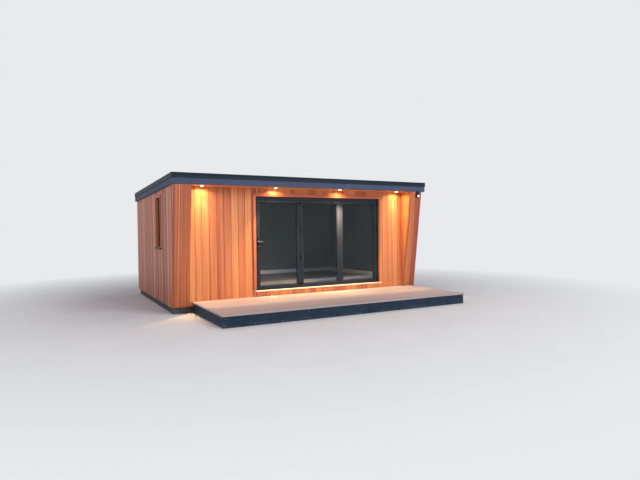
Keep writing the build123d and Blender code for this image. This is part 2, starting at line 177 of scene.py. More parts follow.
def concrete():
    """Dark grey cast concrete, its darkness partly painted shade for its place under the cladding: cloudy at
    0.3 m, grainy at 4 mm, with pinholes where a fine noise dips lowest, and faint level lines where the
    height crosses each board of the shutter."""
    shutter_board = 0.06
    mix = Finish("concrete", Specular_IOR_Level=0.25)
    clouds = mix.noise(mix.place, 3.2, 5, 0.6)
    grain = mix.noise(mix.place, 240, 3)
    pinholes = mix.level(mix.noise(mix.place, 95, 1), 0.27, 0.33)
    board_line = mix.level(mix.math("PINGPONG", mix.along((0, 0, 1)), shutter_board), 0.0, 0.004)
    # Painted shade, in part: both tones are kept dark for the slab's place under the cladding.
    colour = mix.tones(clouds, (66, 67, 71), (92, 92, 94))
    colour = mix.shaded(0.6, colour, grain, 0.3, 0.7, 0.7, 1.1)
    colour = mix.shaded(0.7, colour, pinholes)
    height = mix.math("MULTIPLY", mix.math("ADD", grain, pinholes), board_line)
    return mix.coat(colour, mix.level(clouds, 0.3, 0.7, 0.8, 0.95), height, 0.0008)


refinish(concrete(), "base_slab")


# Floor cassette: a frame of joists and sheet timber filled with insulation. Only its edges could be seen, in
# the slit between the base and the cladding, so it has the plain look of strand board.
def strand_board():
    """Pressed strands: a stretched cell pattern whose cells each have their own buff tone."""
    mix = Finish("strand_board")
    flakes = mix.node("ShaderNodeTexVoronoi")
    cell = mix.feed(flakes, {"Vector": mix.stretched(mix.place, (1, 1, 2.5)), "Scale": 28}, "Color")
    shade = mix.along((0.5, 0.3, 0.2), cell)
    colour = mix.tones(shade, (128, 98, 62), (196, 164, 116), 0.1, 0.9)
    return mix.coat(colour, mix.level(shade, 0, 1, 0.7, 0.85), shade, 0.0006)


refinish(strand_board(), "floor_cassette", "roof_cassette")


# Finished floor: grey laminate planks laid along the front, 190 mm wide and 1.22 m long, with their ends
# staggered from row to row and a fine bevelled joint all round.
def laminate():
    """Planks found by dividing the floor into rows and each row, moved by its own chance, into lengths. Each
    plank has its tone, and the grain is a noise stretched along it."""
    plank_width = 0.19
    plank_length = 1.22
    joint = 0.0016
    mix = Finish("grey_laminate", Specular_IOR_Level=0.45)
    across = mix.math("DIVIDE", mix.along((0, 1, 0)), plank_width)
    row = mix.math("FLOOR", across)
    shift = mix.chance(row)[0]
    length = mix.math("ADD", mix.math("DIVIDE", mix.along((1, 0, 0)), plank_length), shift)
    plank = mix.math("ADD", mix.math("MULTIPLY", row, 17.0), mix.math("FLOOR", length))
    shade, offset, _ = mix.chance(plank)
    grain_place = mix.joined(mix.math("ADD", length, mix.math("MULTIPLY", offset, 9.0)), across, row)
    grain = mix.drawn(grain_place, (2.2, 26, 1), 6, 0.62, 0.8)
    edge_across = mix.math("MULTIPLY", mix.math("PINGPONG", across, 0.5), plank_width)
    edge_length = mix.math("MULTIPLY", mix.math("PINGPONG", length, 0.5), plank_length)
    open_joint = mix.level(mix.math("MINIMUM", edge_across, edge_length), 0.0, joint)
    colour = mix.tones(grain, (92, 91, 92), (126, 124, 123))
    colour = mix.shaded(1.0, colour, shade, 0, 1, 0.86, 1.06)
    colour = mix.shaded(0.8, colour, open_joint)
    return mix.coat(colour, mix.level(grain, 0.2, 0.8, 0.34, 0.5), open_joint, joint)


refinish(laminate(), "floor_finish")


# Walls and ceiling: framed and insulated panels, lined with plasterboard and rolled with matt grey paint.
# The roller leaves a fine orange-peel, and the paint lies a little thicker in slow patches.
def wall_paint():
    """Matt grey: a stipple of 3 mm in relief, and a tone that drifts by a few percent over half a metre."""
    mix = Finish("matt_grey_paint", Specular_IOR_Level=0.3)
    drift = mix.noise(mix.place, 2.1, 3)
    stipple = mix.noise(mix.place, 340, 2, 0.6)
    colour = mix.tones(drift, (88, 95, 99), (100, 107, 111))
    return mix.coat(colour, mix.level(drift, 0.3, 0.7, 0.72, 0.82), stipple, 0.0003, 0.6)


front_walls = ("front_wall_left", "front_wall_right", "front_wall_head")
refinish(wall_paint(), "left_wall", "right_wall", "back_wall", *front_walls, "ceiling")


# Skirting: painted boards fixed along the foot of the walls, all round the room. The white satin paint was
# brushed on by hand, so its gloss shows faint strokes along them.
def grained(name, scale, detail, tones, levels, relief, strength=1.0, factors=None, **constants):
    """A finish of one fine pattern: a noise, drawn out where there is a factor for each axis, that runs from
    one tone to another, sets the roughness through its levels and stands in relief."""
    mix = Finish(name, **constants)
    place = mix.stretched(mix.place, factors) if factors else mix.place
    grain = mix.noise(place, scale, detail)
    return mix.coat(mix.tones(grain, *tones), mix.level(grain, *levels), grain, relief, strength)


white_tones = ((214, 214, 211), (226, 226, 223), 0.2, 0.8)
white_levels = (0.3, 0.7, 0.3, 0.42)
strokes = (6, 6, 420)
refinish(grained("satin_white_paint", 1.0, 3, white_tones, white_levels, 0.0004, 0.5, strokes), "skirting")


# Cedar cladding: vertical red cedar boards 138 mm wide, tongued and grooved with a V at every joint, and
# secretly nailed to battens. They were picked by hand, so straw, salmon and red-brown boards stand side by
# side. The left and right skins run on over the cheeks, where their front ends are cut to the lean.
board_pitch = 0.138
board_thickness = 0.02
roof_slope = 77 / 4104
roof_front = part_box("roof_band_front")[0][1]
X = np.array([1.0, 0.0, 0.0])
Y = np.array([0.0, 1.0, 0.0])
Z = np.array([0.0, 0.0, 1.0])


def cedar():
    """Oiled red cedar in the frame of each board. Rings are the distance from a heart that lies at a chance
    depth behind the board and wanders along it, divided by the ring width, and darken towards each ring's
    edge. Broad bands and narrow streaks are noise drawn out along the board, and they and a chance for the
    board pick the tone. Fibre is the same noise at under 2 mm. Some boards keep a pale edge of sapwood, and
    every board is darker at the foot, where rain splashes it. Each board's colour also darkens over its last
    few millimetres at the joints: painted shade in the V-grooves."""
    ring_width = 0.0045
    sapwood_tone = (222, 156, 100)
    woods = [
        (0.06, sapwood_tone),
        (0.28, (206, 132, 84)),
        (0.48, (188, 109, 72)),
        (0.70, (162, 82, 58)),
        (0.95, (120, 52, 42)),
    ]
    ring_greys = [(0.0, 0), (0.6, 90), (0.93, 255), (1.0, 0)]
    mix = Finish("cedar", Specular_IOR_Level=0.4)
    grain, chances, place = mix.timber((11, 7, 13))
    across, depth, _ = mix.split(grain)
    pick, heart, hue = mix.split(chances)
    wander = mix.drawn(place, (0.3, 0.3, 0.8))
    side = mix.math("MULTIPLY_ADD", heart, 0.16, mix.math("MULTIPLY_ADD", wander, 0.14, across))
    side = mix.math("SUBTRACT", side, 0.15)
    behind = mix.math("ADD", mix.math("MULTIPLY_ADD", hue, 0.07, depth), 0.012)
    radius = mix.length(mix.joined(side, behind, 0.0))
    warp = mix.math("MULTIPLY", mix.drawn(place, (14, 14, 1.1), 3), 3.0)
    ring = mix.math("FRACT", mix.math("MULTIPLY_ADD", radius, 1 / ring_width, warp))
    late = mix.ramp(ring, [(position, tone(grey, grey, grey)) for position, grey in ring_greys])
    bands = mix.drawn(place, (13, 13, 0.28))
    streaks = mix.drawn(place, (48, 48, 0.5), 4, 0.6)
    fibre = mix.drawn(place, (620, 620, 9))
    shade = mix.math("MULTIPLY_ADD", pick, 0.36, mix.math("MULTIPLY", bands, 0.55))
    shade = mix.math("ADD", shade, mix.math("MULTIPLY_ADD", streaks, 0.8, -0.385))
    colour = mix.ramp(shade, [(position, tone(*wood)) for position, wood in woods])
    edge = mix.math("MULTIPLY_ADD", mix.math("SUBTRACT", bands, 0.5), 0.08, across)
    sapwood = mix.math("MULTIPLY", mix.level(edge, 0.036, 0.05), mix.level(hue, 0.55, 0.7, 0.0, 0.6))
    colour = mix.mix(sapwood, colour, tone(*sapwood_tone))
    colour = mix.shaded(0.22, colour, late, 0, 1, 1.08, 0.35)
    colour = mix.shaded(0.5, colour, fibre, 0.25, 0.75, 0.86, 1.1)
    damp = mix.math("MULTIPLY_ADD", mix.math("SUBTRACT", streaks, 0.5), 0.7, mix.along((0, 0, 1)))
    colour = mix.shaded(1.0, colour, damp, 0.1, 1.1, 0.84, 1.0)
    # Painted shade: the colour darkens over the last few millimetres of each board, deepening the V-grooves.
    colour = mix.shaded(1.0, colour, mix.math("ABSOLUTE", across), 0.0645, 0.0685, 1.0, 0.45)
    height = mix.math("MULTIPLY_ADD", late, 0.5, fibre)
    return mix.coat(colour, mix.level(fibre, 0.25, 0.75, 0.42, 0.58), height, 0.0004, 0.7)


def turned_out(points, groups):
    """A closed solid's faces turned outwards. The volume is added up as pyramids from the origin, and where
    it comes out below zero every face is reversed."""
    volume = 0.0
    for group in groups:
        first = points[group[:, 0]]
        for corner in range(1, group.shape[1] - 1):
            sides = np.cross(points[group[:, corner]], points[group[:, corner + 1]])
            volume += float((first * sides).sum())
    return [group[:, ::-1] for group in groups] if volume < 0 else groups


def solid(points, groups, lie=None, dice=None, joints=None, contrast=1.0, red=0.0):
    """A closed solid for piece(). For timber, lie gives the directions across and along its boards. Each
    corner of a face is then written as metres across, through and along its own board, and each board gets
    three chances from the dice. joints are the edges of the boards, as places along the across direction.
    contrast drives the first chance, which picks the tone, away from the middle, and red adds to it."""
    groups = turned_out(points, groups)
    if lie is None:
        return points, groups, None
    across, along = lie
    local = points @ np.stack([across, np.cross(along, across), along], axis=1)
    local[:, 1] -= local[:, 1].min()
    edges = np.array([local[:, 0].min(), local[:, 0].max()] if joints is None else joints)
    middles = (edges[:-1] + edges[1:]) / 2
    chances = dice.random((len(middles), 3))
    chances[:, 0] = 0.5 + contrast * (chances[:, 0] - 0.5) + red
    grains = []
    boards = []
    for group in groups:
        corners = local[group]
        board = np.searchsorted(edges, corners[:, :, 0].mean(axis=1)) - 1
        board = np.clip(board, 0, len(middles) - 1)
        corners[:, :, 0] -= middles[board][:, None]
        grains.append(corners.reshape(-1, 3))
        boards.append(chances[board])
    return points, groups, (np.concatenate(grains), np.concatenate(boards))


def placed(name, data):
    """An object that shows this data, put in the scene."""
    added = bpy.data.objects.new(name, data)
    bpy.context.scene.collection.objects.link(added)
    return added


def piece(name, solids, finish, slot, *replaced, smooth=None):
    """One piece made of closed solids. It rides on the building, takes the finish it is given, and stands
    for the CAD nodes that it replaces. slot is not used. smooth is the angle under which edges are shaded
    round."""
    starts = np.cumsum([0] + [len(points) for points, _, _ in solids])
    faces = []
    for start, (_, groups, _) in zip(starts, solids):
        for group in groups:
            faces.extend((group + start).tolist())
    mesh = bpy.data.meshes.new(name)
    mesh.from_pydata(np.concatenate([points for points, _, _ in solids]).tolist(), [], faces)
    mesh.materials.append(finish)
    if solids[0][2] is not None:
        grain = mesh.attributes.new("grain", "FLOAT_VECTOR", "CORNER")
        grain.data.foreach_set("vector", np.concatenate([timber[0] for _, _, timber in solids]).ravel())
        board = mesh.attributes.new("board", "FLOAT_VECTOR", "FACE")
        board.data.foreach_set("vector", np.concatenate([timber[1] for _, _, timber in solids]).ravel())
    if smooth is not None:
        mesh.polygons.foreach_set("use_smooth", [True] * len(mesh.polygons))
        mesh.set_sharp_from_angle(angle=math.radians(smooth))
    made = placed(name, mesh)
    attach(made, "root")
    if replaced:
        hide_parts(*replaced)
    return made


def shell(front, back, keep):
    """A closed skin between two grids of points: both faces of each cell that is kept, and an edge between
    them wherever a kept cell has no kept neighbour. The first grid direction, the second and the way out
    make a right hand."""
    numbers = np.arange(front.shape[0] * front.shape[1]).reshape(front.shape[:2])
    a, b, c, d = numbers[:-1, :-1], numbers[1:, :-1], numbers[1:, 1:], numbers[:-1, 1:]
    faces = np.stack([a[keep], b[keep], c[keep], d[keep]], axis=1)
    walled = np.pad(keep, 1)
    gone = [walled[1:-1, :-2], walled[2:, 1:-1], walled[1:-1, 2:], walled[:-2, 1:-1]]
    behind = numbers.size
    groups = [faces, faces[:, ::-1] + behind]
    for neighbour, start, end in zip(gone, (a, b, c, d), (b, c, d, a)):
        open_edge = keep & ~neighbour
        low, high = start[open_edge], end[open_edge]
        groups.append(np.stack([high, low, low + behind, high + behind], axis=1))
    points = np.concatenate([front.reshape(-1, 3), back.reshape(-1, 3)])
    used, packed = np.unique(np.concatenate([group.ravel() for group in groups]), return_inverse=True)
    ends = np.cumsum([group.size for group in groups])[:-1]
    groups = [part.reshape(-1, 4) for part in np.split(packed.ravel(), ends)]
    return points[used], groups


def boarding(
    origin, across, out, limits, joints, foot, head, dice, holes=(), thickness=board_thickness, **look
):
    """A skin of boards whose depth below its face depends only on the place across it: a V 9 mm wide and
    5 mm deep at each joint with a slot 4 mm deeper in its middle, and between joints a face that is cupped
    by under a millimetre and set back by a chance. foot and head are where the boards end, as levels or as
    functions of the place across, and look holds the contrast and the red that solid() takes."""
    along = np.cross(out, across)
    v_half, v_deep, slot_half, slot_deep = 0.0045, 0.005, 0.0008, 0.009
    slot_edge = slot_half + 0.0001
    eased, cupped, most_set_back = 0.0015, 0.0003, 0.0008
    left, right = limits
    inner = np.array([joint for joint in joints if left + v_half < joint < right - v_half])
    edges = np.concatenate([[left], inner, [right]])
    set_back = dice.random(len(edges) - 1) * most_set_back
    v_steps = np.array([-v_half, -slot_edge, -slot_half, slot_half, slot_edge, v_half])
    v_depths = np.array([0.0, v_deep, slot_deep, slot_deep, v_deep, 0.0])
    v_lines = (inner[:, None] + v_steps).ravel()
    v_values = np.tile(v_depths, len(inner))
    v_values[0::6] += set_back[:-1]
    v_values[5::6] += set_back[1:]
    middles = (edges[:-1] + edges[1:]) / 2
    lines = np.concatenate([[left, left + eased], v_lines, middles, [right - eased, right]])
    values = np.concatenate([[eased, 0], v_values, set_back + cupped, [0, eased]])
    order = np.argsort(lines)
    cuts = [edge for hole in holes for edge in hole[:2] if left < edge < right]
    places = np.unique(np.concatenate([lines, cuts]))
    depths = np.interp(places, lines[order], values[order])
    levels = np.unique([edge for hole in holes for edge in hole[2:]])
    ends = [end(places) if callable(end) else end for end in (foot, *levels, head)]
    rows = np.stack([np.broadcast_to(end, places.shape) for end in ends], axis=1)
    surface = origin + places[:, None, None] * across + rows[:, :, None] * along
    keep = np.ones((len(places) - 1, rows.shape[1] - 1), dtype=bool)
    cell_across = (places[:-1] + places[1:])[:, None] / 2
    cell_along = (rows[:-1, :-1] + rows[1:, 1:]) / 2
    for low, high, bottom, top in holes:
        keep &= ~((cell_across > low) & (cell_across < high) & (cell_along > bottom) & (cell_along < top))
    front = surface - depths[:, None, None] * out
    points, groups = shell(front, surface - thickness * out, keep)
    return solid(points, groups, (across, along), dice, edges + float(origin @ across), **look)


def under_roof(y, level):
    """The height at a depth y on a surface that falls with the roof from its level at the roof's front."""
    return level - (y - roof_front) * roof_slope


def lofted(rings, closed=False, lie=None):
    """A closed solid through a row of rings with as many points each: a band of faces from ring to ring, and
    a face across the first and the last, or a band between those two where the row is closed."""
    rows, columns = rings.shape[:2]
    numbers = np.arange(rows * columns).reshape(rows, columns)
    caps = [] if closed else [numbers[:1], numbers[-1:, ::-1]]
    if closed:
        numbers = np.vstack([numbers, numbers[:1]])
    numbers = np.hstack([numbers, numbers[:, :1]])
    corners = [numbers[:-1, :-1], numbers[1:, :-1], numbers[1:, 1:], numbers[:-1, 1:]]
    return solid(rings.reshape(-1, 3), [np.stack(corners, axis=-1).reshape(-1, 4), *caps], lie, dice)


def bar(profile, start, end, side, out, lie=None):
    """A straight bar: a profile of places along side and out, carried from its start to its end."""
    ends = np.array([start, end], dtype=float)
    profile = np.array(profile)
    ring = profile[:, :1] * side + profile[:, 1:] * out
    return lofted(ends[:, None, :] + ring[None], lie=lie)


dice = np.random.default_rng(41)
cedar_finish = cedar()
fascia_height = 0.189
soffit_thickness = 0.018
fascia_foot_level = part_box("fascia_front")[1][2] - fascia_height
cladding_head_level = fascia_foot_level + soffit_thickness
shadow_gap = 0.001

door_low, door_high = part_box("door_frame")
front_low, front_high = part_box("front_cladding")
lining = 0.012
front_face = front_low[1]
front_joint_x = -1.724
front_skin = boarding(
    front_face * Y,
    X,
    -Y,
    (front_low[0], front_high[0]),
    front_joint_x + board_pitch * np.arange(-6, 31),
    front_low[2],
    under_roof(front_face, fascia_foot_level) - shadow_gap,
    np.random.default_rng(289722),
    [(door_low[0] - lining, door_high[0] + lining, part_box("door_sill")[0][2], door_high[2] + lining)],
)
piece("front_boards", [front_skin], cedar_finish, "cedar", "front_cladding")

back_low, back_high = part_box("back_cladding")
back_skin = boarding(
    back_high[1] * Y,
    -X,
    Y,
    (back_low[0], back_high[0]),
    board_pitch * (np.arange(-20, 21) + 0.5),
    back_low[2],
    under_roof(back_high[1], cladding_head_level) - shadow_gap,
    dice,
)
piece("back_boards", [back_skin], cedar_finish, "cedar", "back_cladding")


# Cheeks: two boxed wings that lean forward from the deck up to the soffit. Boards run up the lean on their
# fronts and cover the ends of the upright boards at their sides, which are cut to the lean behind them.
wing_low, wing_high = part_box("left_cheek")
wing_tall = wing_high[2] - wing_low[2]
foot_proud = 0.02
end_gap = 0.002
tip_width = 0.003
wing_foot_y = front_face - foot_proud
lean = (wing_foot_y - wing_low[1]) / wing_tall
lean_angle = math.atan(lean)
cut_back = board_thickness / math.cos(lean_angle) + end_gap
tip = wing_low[1] + cut_back + tip_width
# Painted shade: this shift makes the boards on the sides and the cheek fronts darker and redder.
side_shade_red = 0.28
side_look = {"contrast": 1.8, "red": side_shade_red}
inner_look = {"contrast": 0.7, "red": -0.3}


def side_skin(face_x, outwards, limits, first_joint, holes=(), look=side_look):
    """Upright boards that face a side. Their across direction, the way up and the way out make a right hand,
    so it runs forwards or backwards, and every place along Y is turned to go with it. Their feet are level
    behind the cheek's foot and go up the back of the lean before it, and their heads meet the soffit before
    the front wall and the roof behind it."""
    across = np.cross(Z, outwards)
    way = across[1]
    joints = np.sort(way * (first_joint + board_pitch * np.arange(-3, 28)))

    def foot(places):
        return wing_low[2] + np.maximum(0.0, wing_foot_y + cut_back - way * places) / lean

    def head(places):
        level = np.where(way * places > front_high[1], cladding_head_level, fascia_foot_level)
        return under_roof(way * places, level) - shadow_gap

    limits = sorted(way * limit for limit in limits)
    holes = [(*sorted((way * hole[0], way * hole[1])), hole[2], hole[3]) for hole in holes]
    return boarding(face_x * X, across, outwards, limits, joints, foot, head, dice, holes, **look)


side_first_joint = -1.8185
side_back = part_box("left_cladding")[1][1]
window_low, window_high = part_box("window_frame")
window_y = (window_low[1] - lining, window_high[1] + lining)
window_z = (window_low[2] - lining, window_high[2] + lining)
window_hole = (*window_y, *window_z)
sides = (("left", wing_low[0], -X, [window_hole]), ("right", -wing_low[0], X, []))
for name, face_x, outwards, holes in sides:
    wing_skin = side_skin(face_x, outwards, (tip, side_first_joint), side_first_joint)
    wall_skin = side_skin(face_x, outwards, (side_first_joint, side_back), side_first_joint, holes)
    piece(f"{name}_boards", [wing_skin, wall_skin], cedar_finish, "cedar", f"{name}_cladding")

lean_out = np.array([0.0, -math.cos(lean_angle), -math.sin(lean_angle)])
lean_up = np.cross(lean_out, X)
lean_head_gap = 0.004
lean_length = wing_tall / math.cos(lean_angle) - lean_head_gap
core_head_gap = 0.01
hairline = 0.0001


def cheek(name, outer_x, inner_x, joints, dice):
    """A cheek's leaning front, its side towards the doors, and the core that closes its foot."""
    inwards = X * math.copysign(1.0, inner_x - outer_x)
    foot = np.array([0.0, wing_foot_y, wing_low[2]])
    across = sorted((outer_x, inner_x))
    front = boarding(foot, X, lean_out, across, joints, 0.0, lean_length, dice, red=side_shade_red)
    inner = side_skin(inner_x, inwards, (tip, front_face), front_face + hairline, look=inner_look)
    core_x = sorted((inner_x - inwards[0] * board_thickness, outer_x + inwards[0] * board_thickness))
    core_front = wing_foot_y + cut_back + shadow_gap
    core_head = under_roof(front_high[1], fascia_foot_level) - core_head_gap
    outline = [
        (core_front, wing_low[2]),
        (front_high[1], wing_low[2]),
        (front_high[1], core_head),
        (core_front - lean * (core_head - wing_low[2]), core_head),
    ]
    core = bar(outline, core_x[0] * X, core_x[1] * X, Y, Z, (X, Z))
    piece(f"{name}_boards", [front, inner, core], cedar_finish, "cedar", name)


left_joints, right_joints = np.array([-2.584, -2.448]), np.array([2.426, 2.564])
cheek("left_cheek", wing_low[0], wing_high[0], left_joints, np.random.default_rng(586))
cheek("right_cheek", -wing_low[0], -wing_high[0], right_joints, np.random.default_rng(17682))


# Soffit: three cedar boards under the front overhang, laid along the building, with a sawn hole for each
# downlight that its rim covers.
soffit_low, soffit_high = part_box("soffit")
fall_length = math.hypot(1, roof_slope)
soffit_across = np.array([0.0, 1.0, -roof_slope]) / fall_length
soffit_out = np.cross(soffit_across, X)
soffit_depth = (soffit_high[1] - soffit_low[1]) * fall_length
rims_low, rims_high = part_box("downlight_rims")
downlight_y = (rims_low[1] + rims_high[1]) / 2
rim_radius = (rims_high[1] - rims_low[1]) / 2
downlights_x = np.linspace(rims_low[0] + rim_radius, rims_high[0] - rim_radius, 4)
rim_bore = 0.0302
hole_middle = (downlight_y - soffit_low[1]) * fall_length
soffit_skin = boarding(
    np.array([0.0, soffit_low[1], under_roof(soffit_low[1], fascia_foot_level)]),
    soffit_across,
    soffit_out,
    (0.0, soffit_depth),
    soffit_depth - board_pitch * np.arange(1, 3)[::-1],
    soffit_low[0],
    soffit_high[0],
    dice,
    [(hole_middle - rim_bore, hole_middle + rim_bore, x - rim_bore, x + rim_bore) for x in downlights_x],
    soffit_thickness,
)
piece("soffit_boards", [soffit_skin], cedar_finish, "cedar", "soffit")


# Downlights: four round fittings of brushed steel, each with a dished ring pressed up to the soffit and a
# frosted lens set back in it, which glows warm. The steel's marks are drawn out round the fitting.
def frosted_lens(name, glow, colour, emission):
    """A frosted plastic lens: a fine grain in its relief, and a steady glow of its own."""
    tones = (colour, (255, 250, 240))
    light = {"Emission_Color": emission, "Emission_Strength": glow}
    return grained(name, 1500, 2, tones, (0.2, 0.8, 0.3, 0.5), 0.0001, 0.4, **light)


def turned(profile, centre, axis, side, around=48, closed=False):
    """A solid of revolution: each (radius, height) of its profile becomes a circle about the axis. A profile
    that is closed makes a ring, and one that isn't gets a flat face across both ends."""
    angles = np.linspace(0, 2 * math.pi, around, endpoint=False)
    spokes = np.cos(angles)[:, None] * side + np.sin(angles)[:, None] * np.cross(axis, side)
    radius, height = np.array(profile, dtype=float).T
    rings = centre + radius[:, None, None] * spokes[None] + height[:, None, None] * np.array(axis)
    return lofted(rings, closed)


steel_tones = ((176, 174, 170), (204, 202, 198))
steel_levels = (0.3, 0.7, 0.22, 0.4)
marks = (900, 60, 60)
steel_finish = grained("brushed_steel", 1.0, 3, steel_tones, steel_levels, 0.0002, 0.5, marks, Metallic=1.0)
rim_profile = [
    (rim_bore, 0.0),
    (0.0425, 0.0),
    (0.0425, 0.0009),
    (0.0415, 0.0021),
    (0.0345, 0.0026),
    (0.0315, 0.0014),
    (0.0300, -0.0035),
    (0.0288, -0.0118),
    (rim_bore, -0.0118),
]
lens_profile = [
    (0.0285, -0.0100),
    (0.0285, 0.0010),
    (0.0262, 0.0040),
    (0.0200, 0.0062),
    (0.0110, 0.0074),
    (0.0030, 0.0078),
]
centres = [np.array([x, downlight_y, under_roof(downlight_y, fascia_foot_level)]) for x in downlights_x]
rims = [turned(rim_profile, centre, soffit_out, X, closed=True) for centre in centres]
lenses = [turned(lens_profile, centre, soffit_out, X) for centre in centres]
piece("downlight_rings", rims, steel_finish, "downlight_metal", "downlight_rims", smooth=40)
warm_glow = frosted_lens("warm_lens", 24.0, (240, 232, 214), (1.0, 0.66, 0.27, 1.0))
piece("downlight_glass", lenses, warm_glow, "downlight_lens", "downlight_lenses", smooth=40)


# Roof covering: one sheet of black rubber laid over the deck between the kerbs, turned down over the back
# edge. It is bonded down, with slight ripples, two lap strips and a scatter of dust that rain has moved.
def roof_rubber():
    """Black rubber: grey dust thicker where two noises are high, drawn out down the fall of the roof, and a
    fine grain in relief."""
    mix = Finish("roof_rubber", Specular_IOR_Level=0.35)
    dust = mix.drawn(mix.place, (2.6, 0.9, 1), 5, 0.6)
    specks = mix.noise(mix.place, 60, 3)
    grain = mix.noise(mix.place, 700, 2)
    cover = mix.math("MULTIPLY", mix.level(dust, 0.4, 0.75), mix.level(specks, 0.3, 0.7, 0.4, 1.0))
    colour = mix.mix(cover, tone(42, 44, 47), tone(96, 96, 92))
    return mix.coat(colour, mix.level(cover, 0, 1, 0.5, 0.85), grain, 0.0004, 0.6)


sheet_low, sheet_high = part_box("roof_membrane")
sheet_thick = 0.004
back_fold = 0.006
laps_x = (-0.92, 0.95)
lap_half, lap_edge, lap_thick = 0.06, 0.01, 0.0018
upstand_tall, upstand_wide = 0.02, 0.035
sheet_x = np.linspace(sheet_low[0], sheet_high[0], 181)
sheet_y = np.linspace(sheet_low[1], sheet_high[1] - back_fold, 121)
flat_x, flat_y = np.meshgrid(sheet_x, sheet_y, indexing="ij")
# The ripples are a 1.2 mm wave along X that swells and sinks along Y, and a slanting one of 0.8 mm. A sine
# added to each one's phase bends its lines.
ripple = 0.0012 * np.sin(flat_x * 9.1 + 1.7 * np.sin(flat_y * 1.3)) * np.sin(flat_y * 2.2 + 0.6)
ripple += 0.0008 * np.sin(flat_x * 2.3 - flat_y * 6.7 + np.sin(flat_x * 3.1))
laps = sum(np.clip((lap_half - np.abs(flat_x - lap_x)) / lap_edge, 0, 1) for lap_x in laps_x)
inset = np.minimum(np.minimum(flat_x - sheet_low[0], sheet_high[0] - flat_x), flat_y - sheet_low[1])
upstand = upstand_tall * np.clip(1 - inset / upstand_wide, 0, 1) ** 2
sheet_foot_level = sheet_high[2] + (sheet_low[1] - roof_front) * roof_slope - sheet_thick
sheet_top = under_roof(flat_y, sheet_foot_level + sheet_thick) + ripple + lap_thick * laps + upstand
sheet_under = under_roof(flat_y, sheet_foot_level)
sheet_faces = [np.stack([flat_x, flat_y, level], axis=-1) for level in (sheet_top, sheet_under)]
sheet_keep = np.ones((len(sheet_x) - 1, len(sheet_y) - 1), dtype=bool)
sheet_solid = solid(*shell(*sheet_faces, sheet_keep))
piece("rubber_sheet", [sheet_solid], roof_rubber(), "roof_rubber", "roof_membrane", smooth=30)


# Roof edge: fascia boards of dark coated metal round all four sides, and above them at the front and sides
# a black rubber-faced trim whose rounded nose stands proud and whose lip sheds water. Both come in lengths
# of 3 m or less, so joint covers straddle the meetings.
def coated_metal(name, colour, faded, shine=0.42, gloss=0.5):
    """Powder-coated metal: a tone that drifts slowly, faint runs where rain has washed dust down, and the
    fine orange-peel of the coat."""
    mix = Finish(name, Specular_IOR_Level=gloss)
    drift = mix.noise(mix.place, 1.1, 3)
    runs = mix.drawn(mix.place, (30, 30, 2.0), 4, 0.55)
    peel = mix.noise(mix.place, 420, 2)
    washed = mix.math("MULTIPLY", mix.level(runs, 0.45, 0.75), mix.level(drift, 0.3, 0.7))
    shade = mix.mix(mix.math("MULTIPLY", washed, 0.6), colour, faded)
    return mix.coat(shade, mix.level(runs, 0.3, 0.7, shine - 0.05, shine + 0.1), peel, 0.00025, 0.5)


band_low, band_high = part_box("roof_band_front")
roof_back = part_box("fascia_back")[1][1]


def edge_run(profile, left, right, front, back):
    """A mitred strip that goes up the left side, across the front and down the right side of the roof. Each
    profile point is an inset from the edges and a level, and falls with the roof."""
    inset, level = np.array(profile).T
    x = np.stack([left + inset, left + inset, right - inset, right - inset])
    y = np.stack([np.full_like(inset, back), front + inset, front + inset, np.full_like(inset, back)])
    return lofted(np.stack([x, y, under_roof(y, level)], axis=-1))


def lifted(level, *steps):
    """Profile points, each given as its place across and its rise from a level."""
    return [(across, level + rise) for across, rise in steps]


top = band_high[2]
nose_drop = 0.089
sheet_drop = 0.0125
trim_foot = top - nose_drop
trim_profile = [
    *lifted(trim_foot, (0.0015, 0.003), (0.0, 0.0), (0.0040, 0.0), (0.0110, 0.004)),
    *lifted(top, (0.0110, -0.013), (0.0730, -0.013), (0.0730, -0.009), (0.0300, -0.006), (0.0150, -0.0012)),
    *lifted(top, (0.0105, -0.0002), (0.0060, -0.0012), (0.0030, -0.0040), (0.0018, -0.0085)),
    *lifted(top, (0.0015, -0.0140), (0.0030, -0.0180)),
    *lifted(trim_foot, (0.0030, 0.020), (0.0018, 0.014)),
]
trims = [edge_run(trim_profile, band_low[0], band_high[0], band_low[1], roof_back)]
cover_foot, cover_head = trim_foot + 0.022, top - 0.018
cover_proud = 0.0034
cover_inset = np.array([0.0, cover_proud, cover_proud, 0.0]) + 0.0004
cover_level = np.array([cover_foot, cover_foot, cover_head, cover_head])
cover_half = 0.022
front_covers_x = (-1.35, 1.4)
side_covers_y = (-0.62, 0.9)


def joint_cover(edge, inwards, middle, run):
    """The cover over a meeting of two lengths: its profile of insets and levels at both ends of its run."""
    rings = []
    for half in (-cover_half, cover_half):
        ring = edge + cover_inset[:, None] * inwards + (middle + half) * run
        ring[:, 2] = under_roof(ring[:, 1], cover_level)
        rings.append(ring)
    return lofted(np.array(rings))


trims += [joint_cover(band_low[1] * Y, Y, x, X) for x in front_covers_x]
for edge_x, inwards in ((band_low[0], X), (band_high[0], -X)):
    trims += [joint_cover(edge_x * X, inwards, y, Y) for y in side_covers_y]
trim_finish = coated_metal("roof_trim_coat", tone(12, 31, 45), tone(26, 48, 62), 0.5, 0.18)
piece("roof_trim", trims, trim_finish, "roof_edge_metal", "roof_band_front", "roof_band_sides", smooth=50)

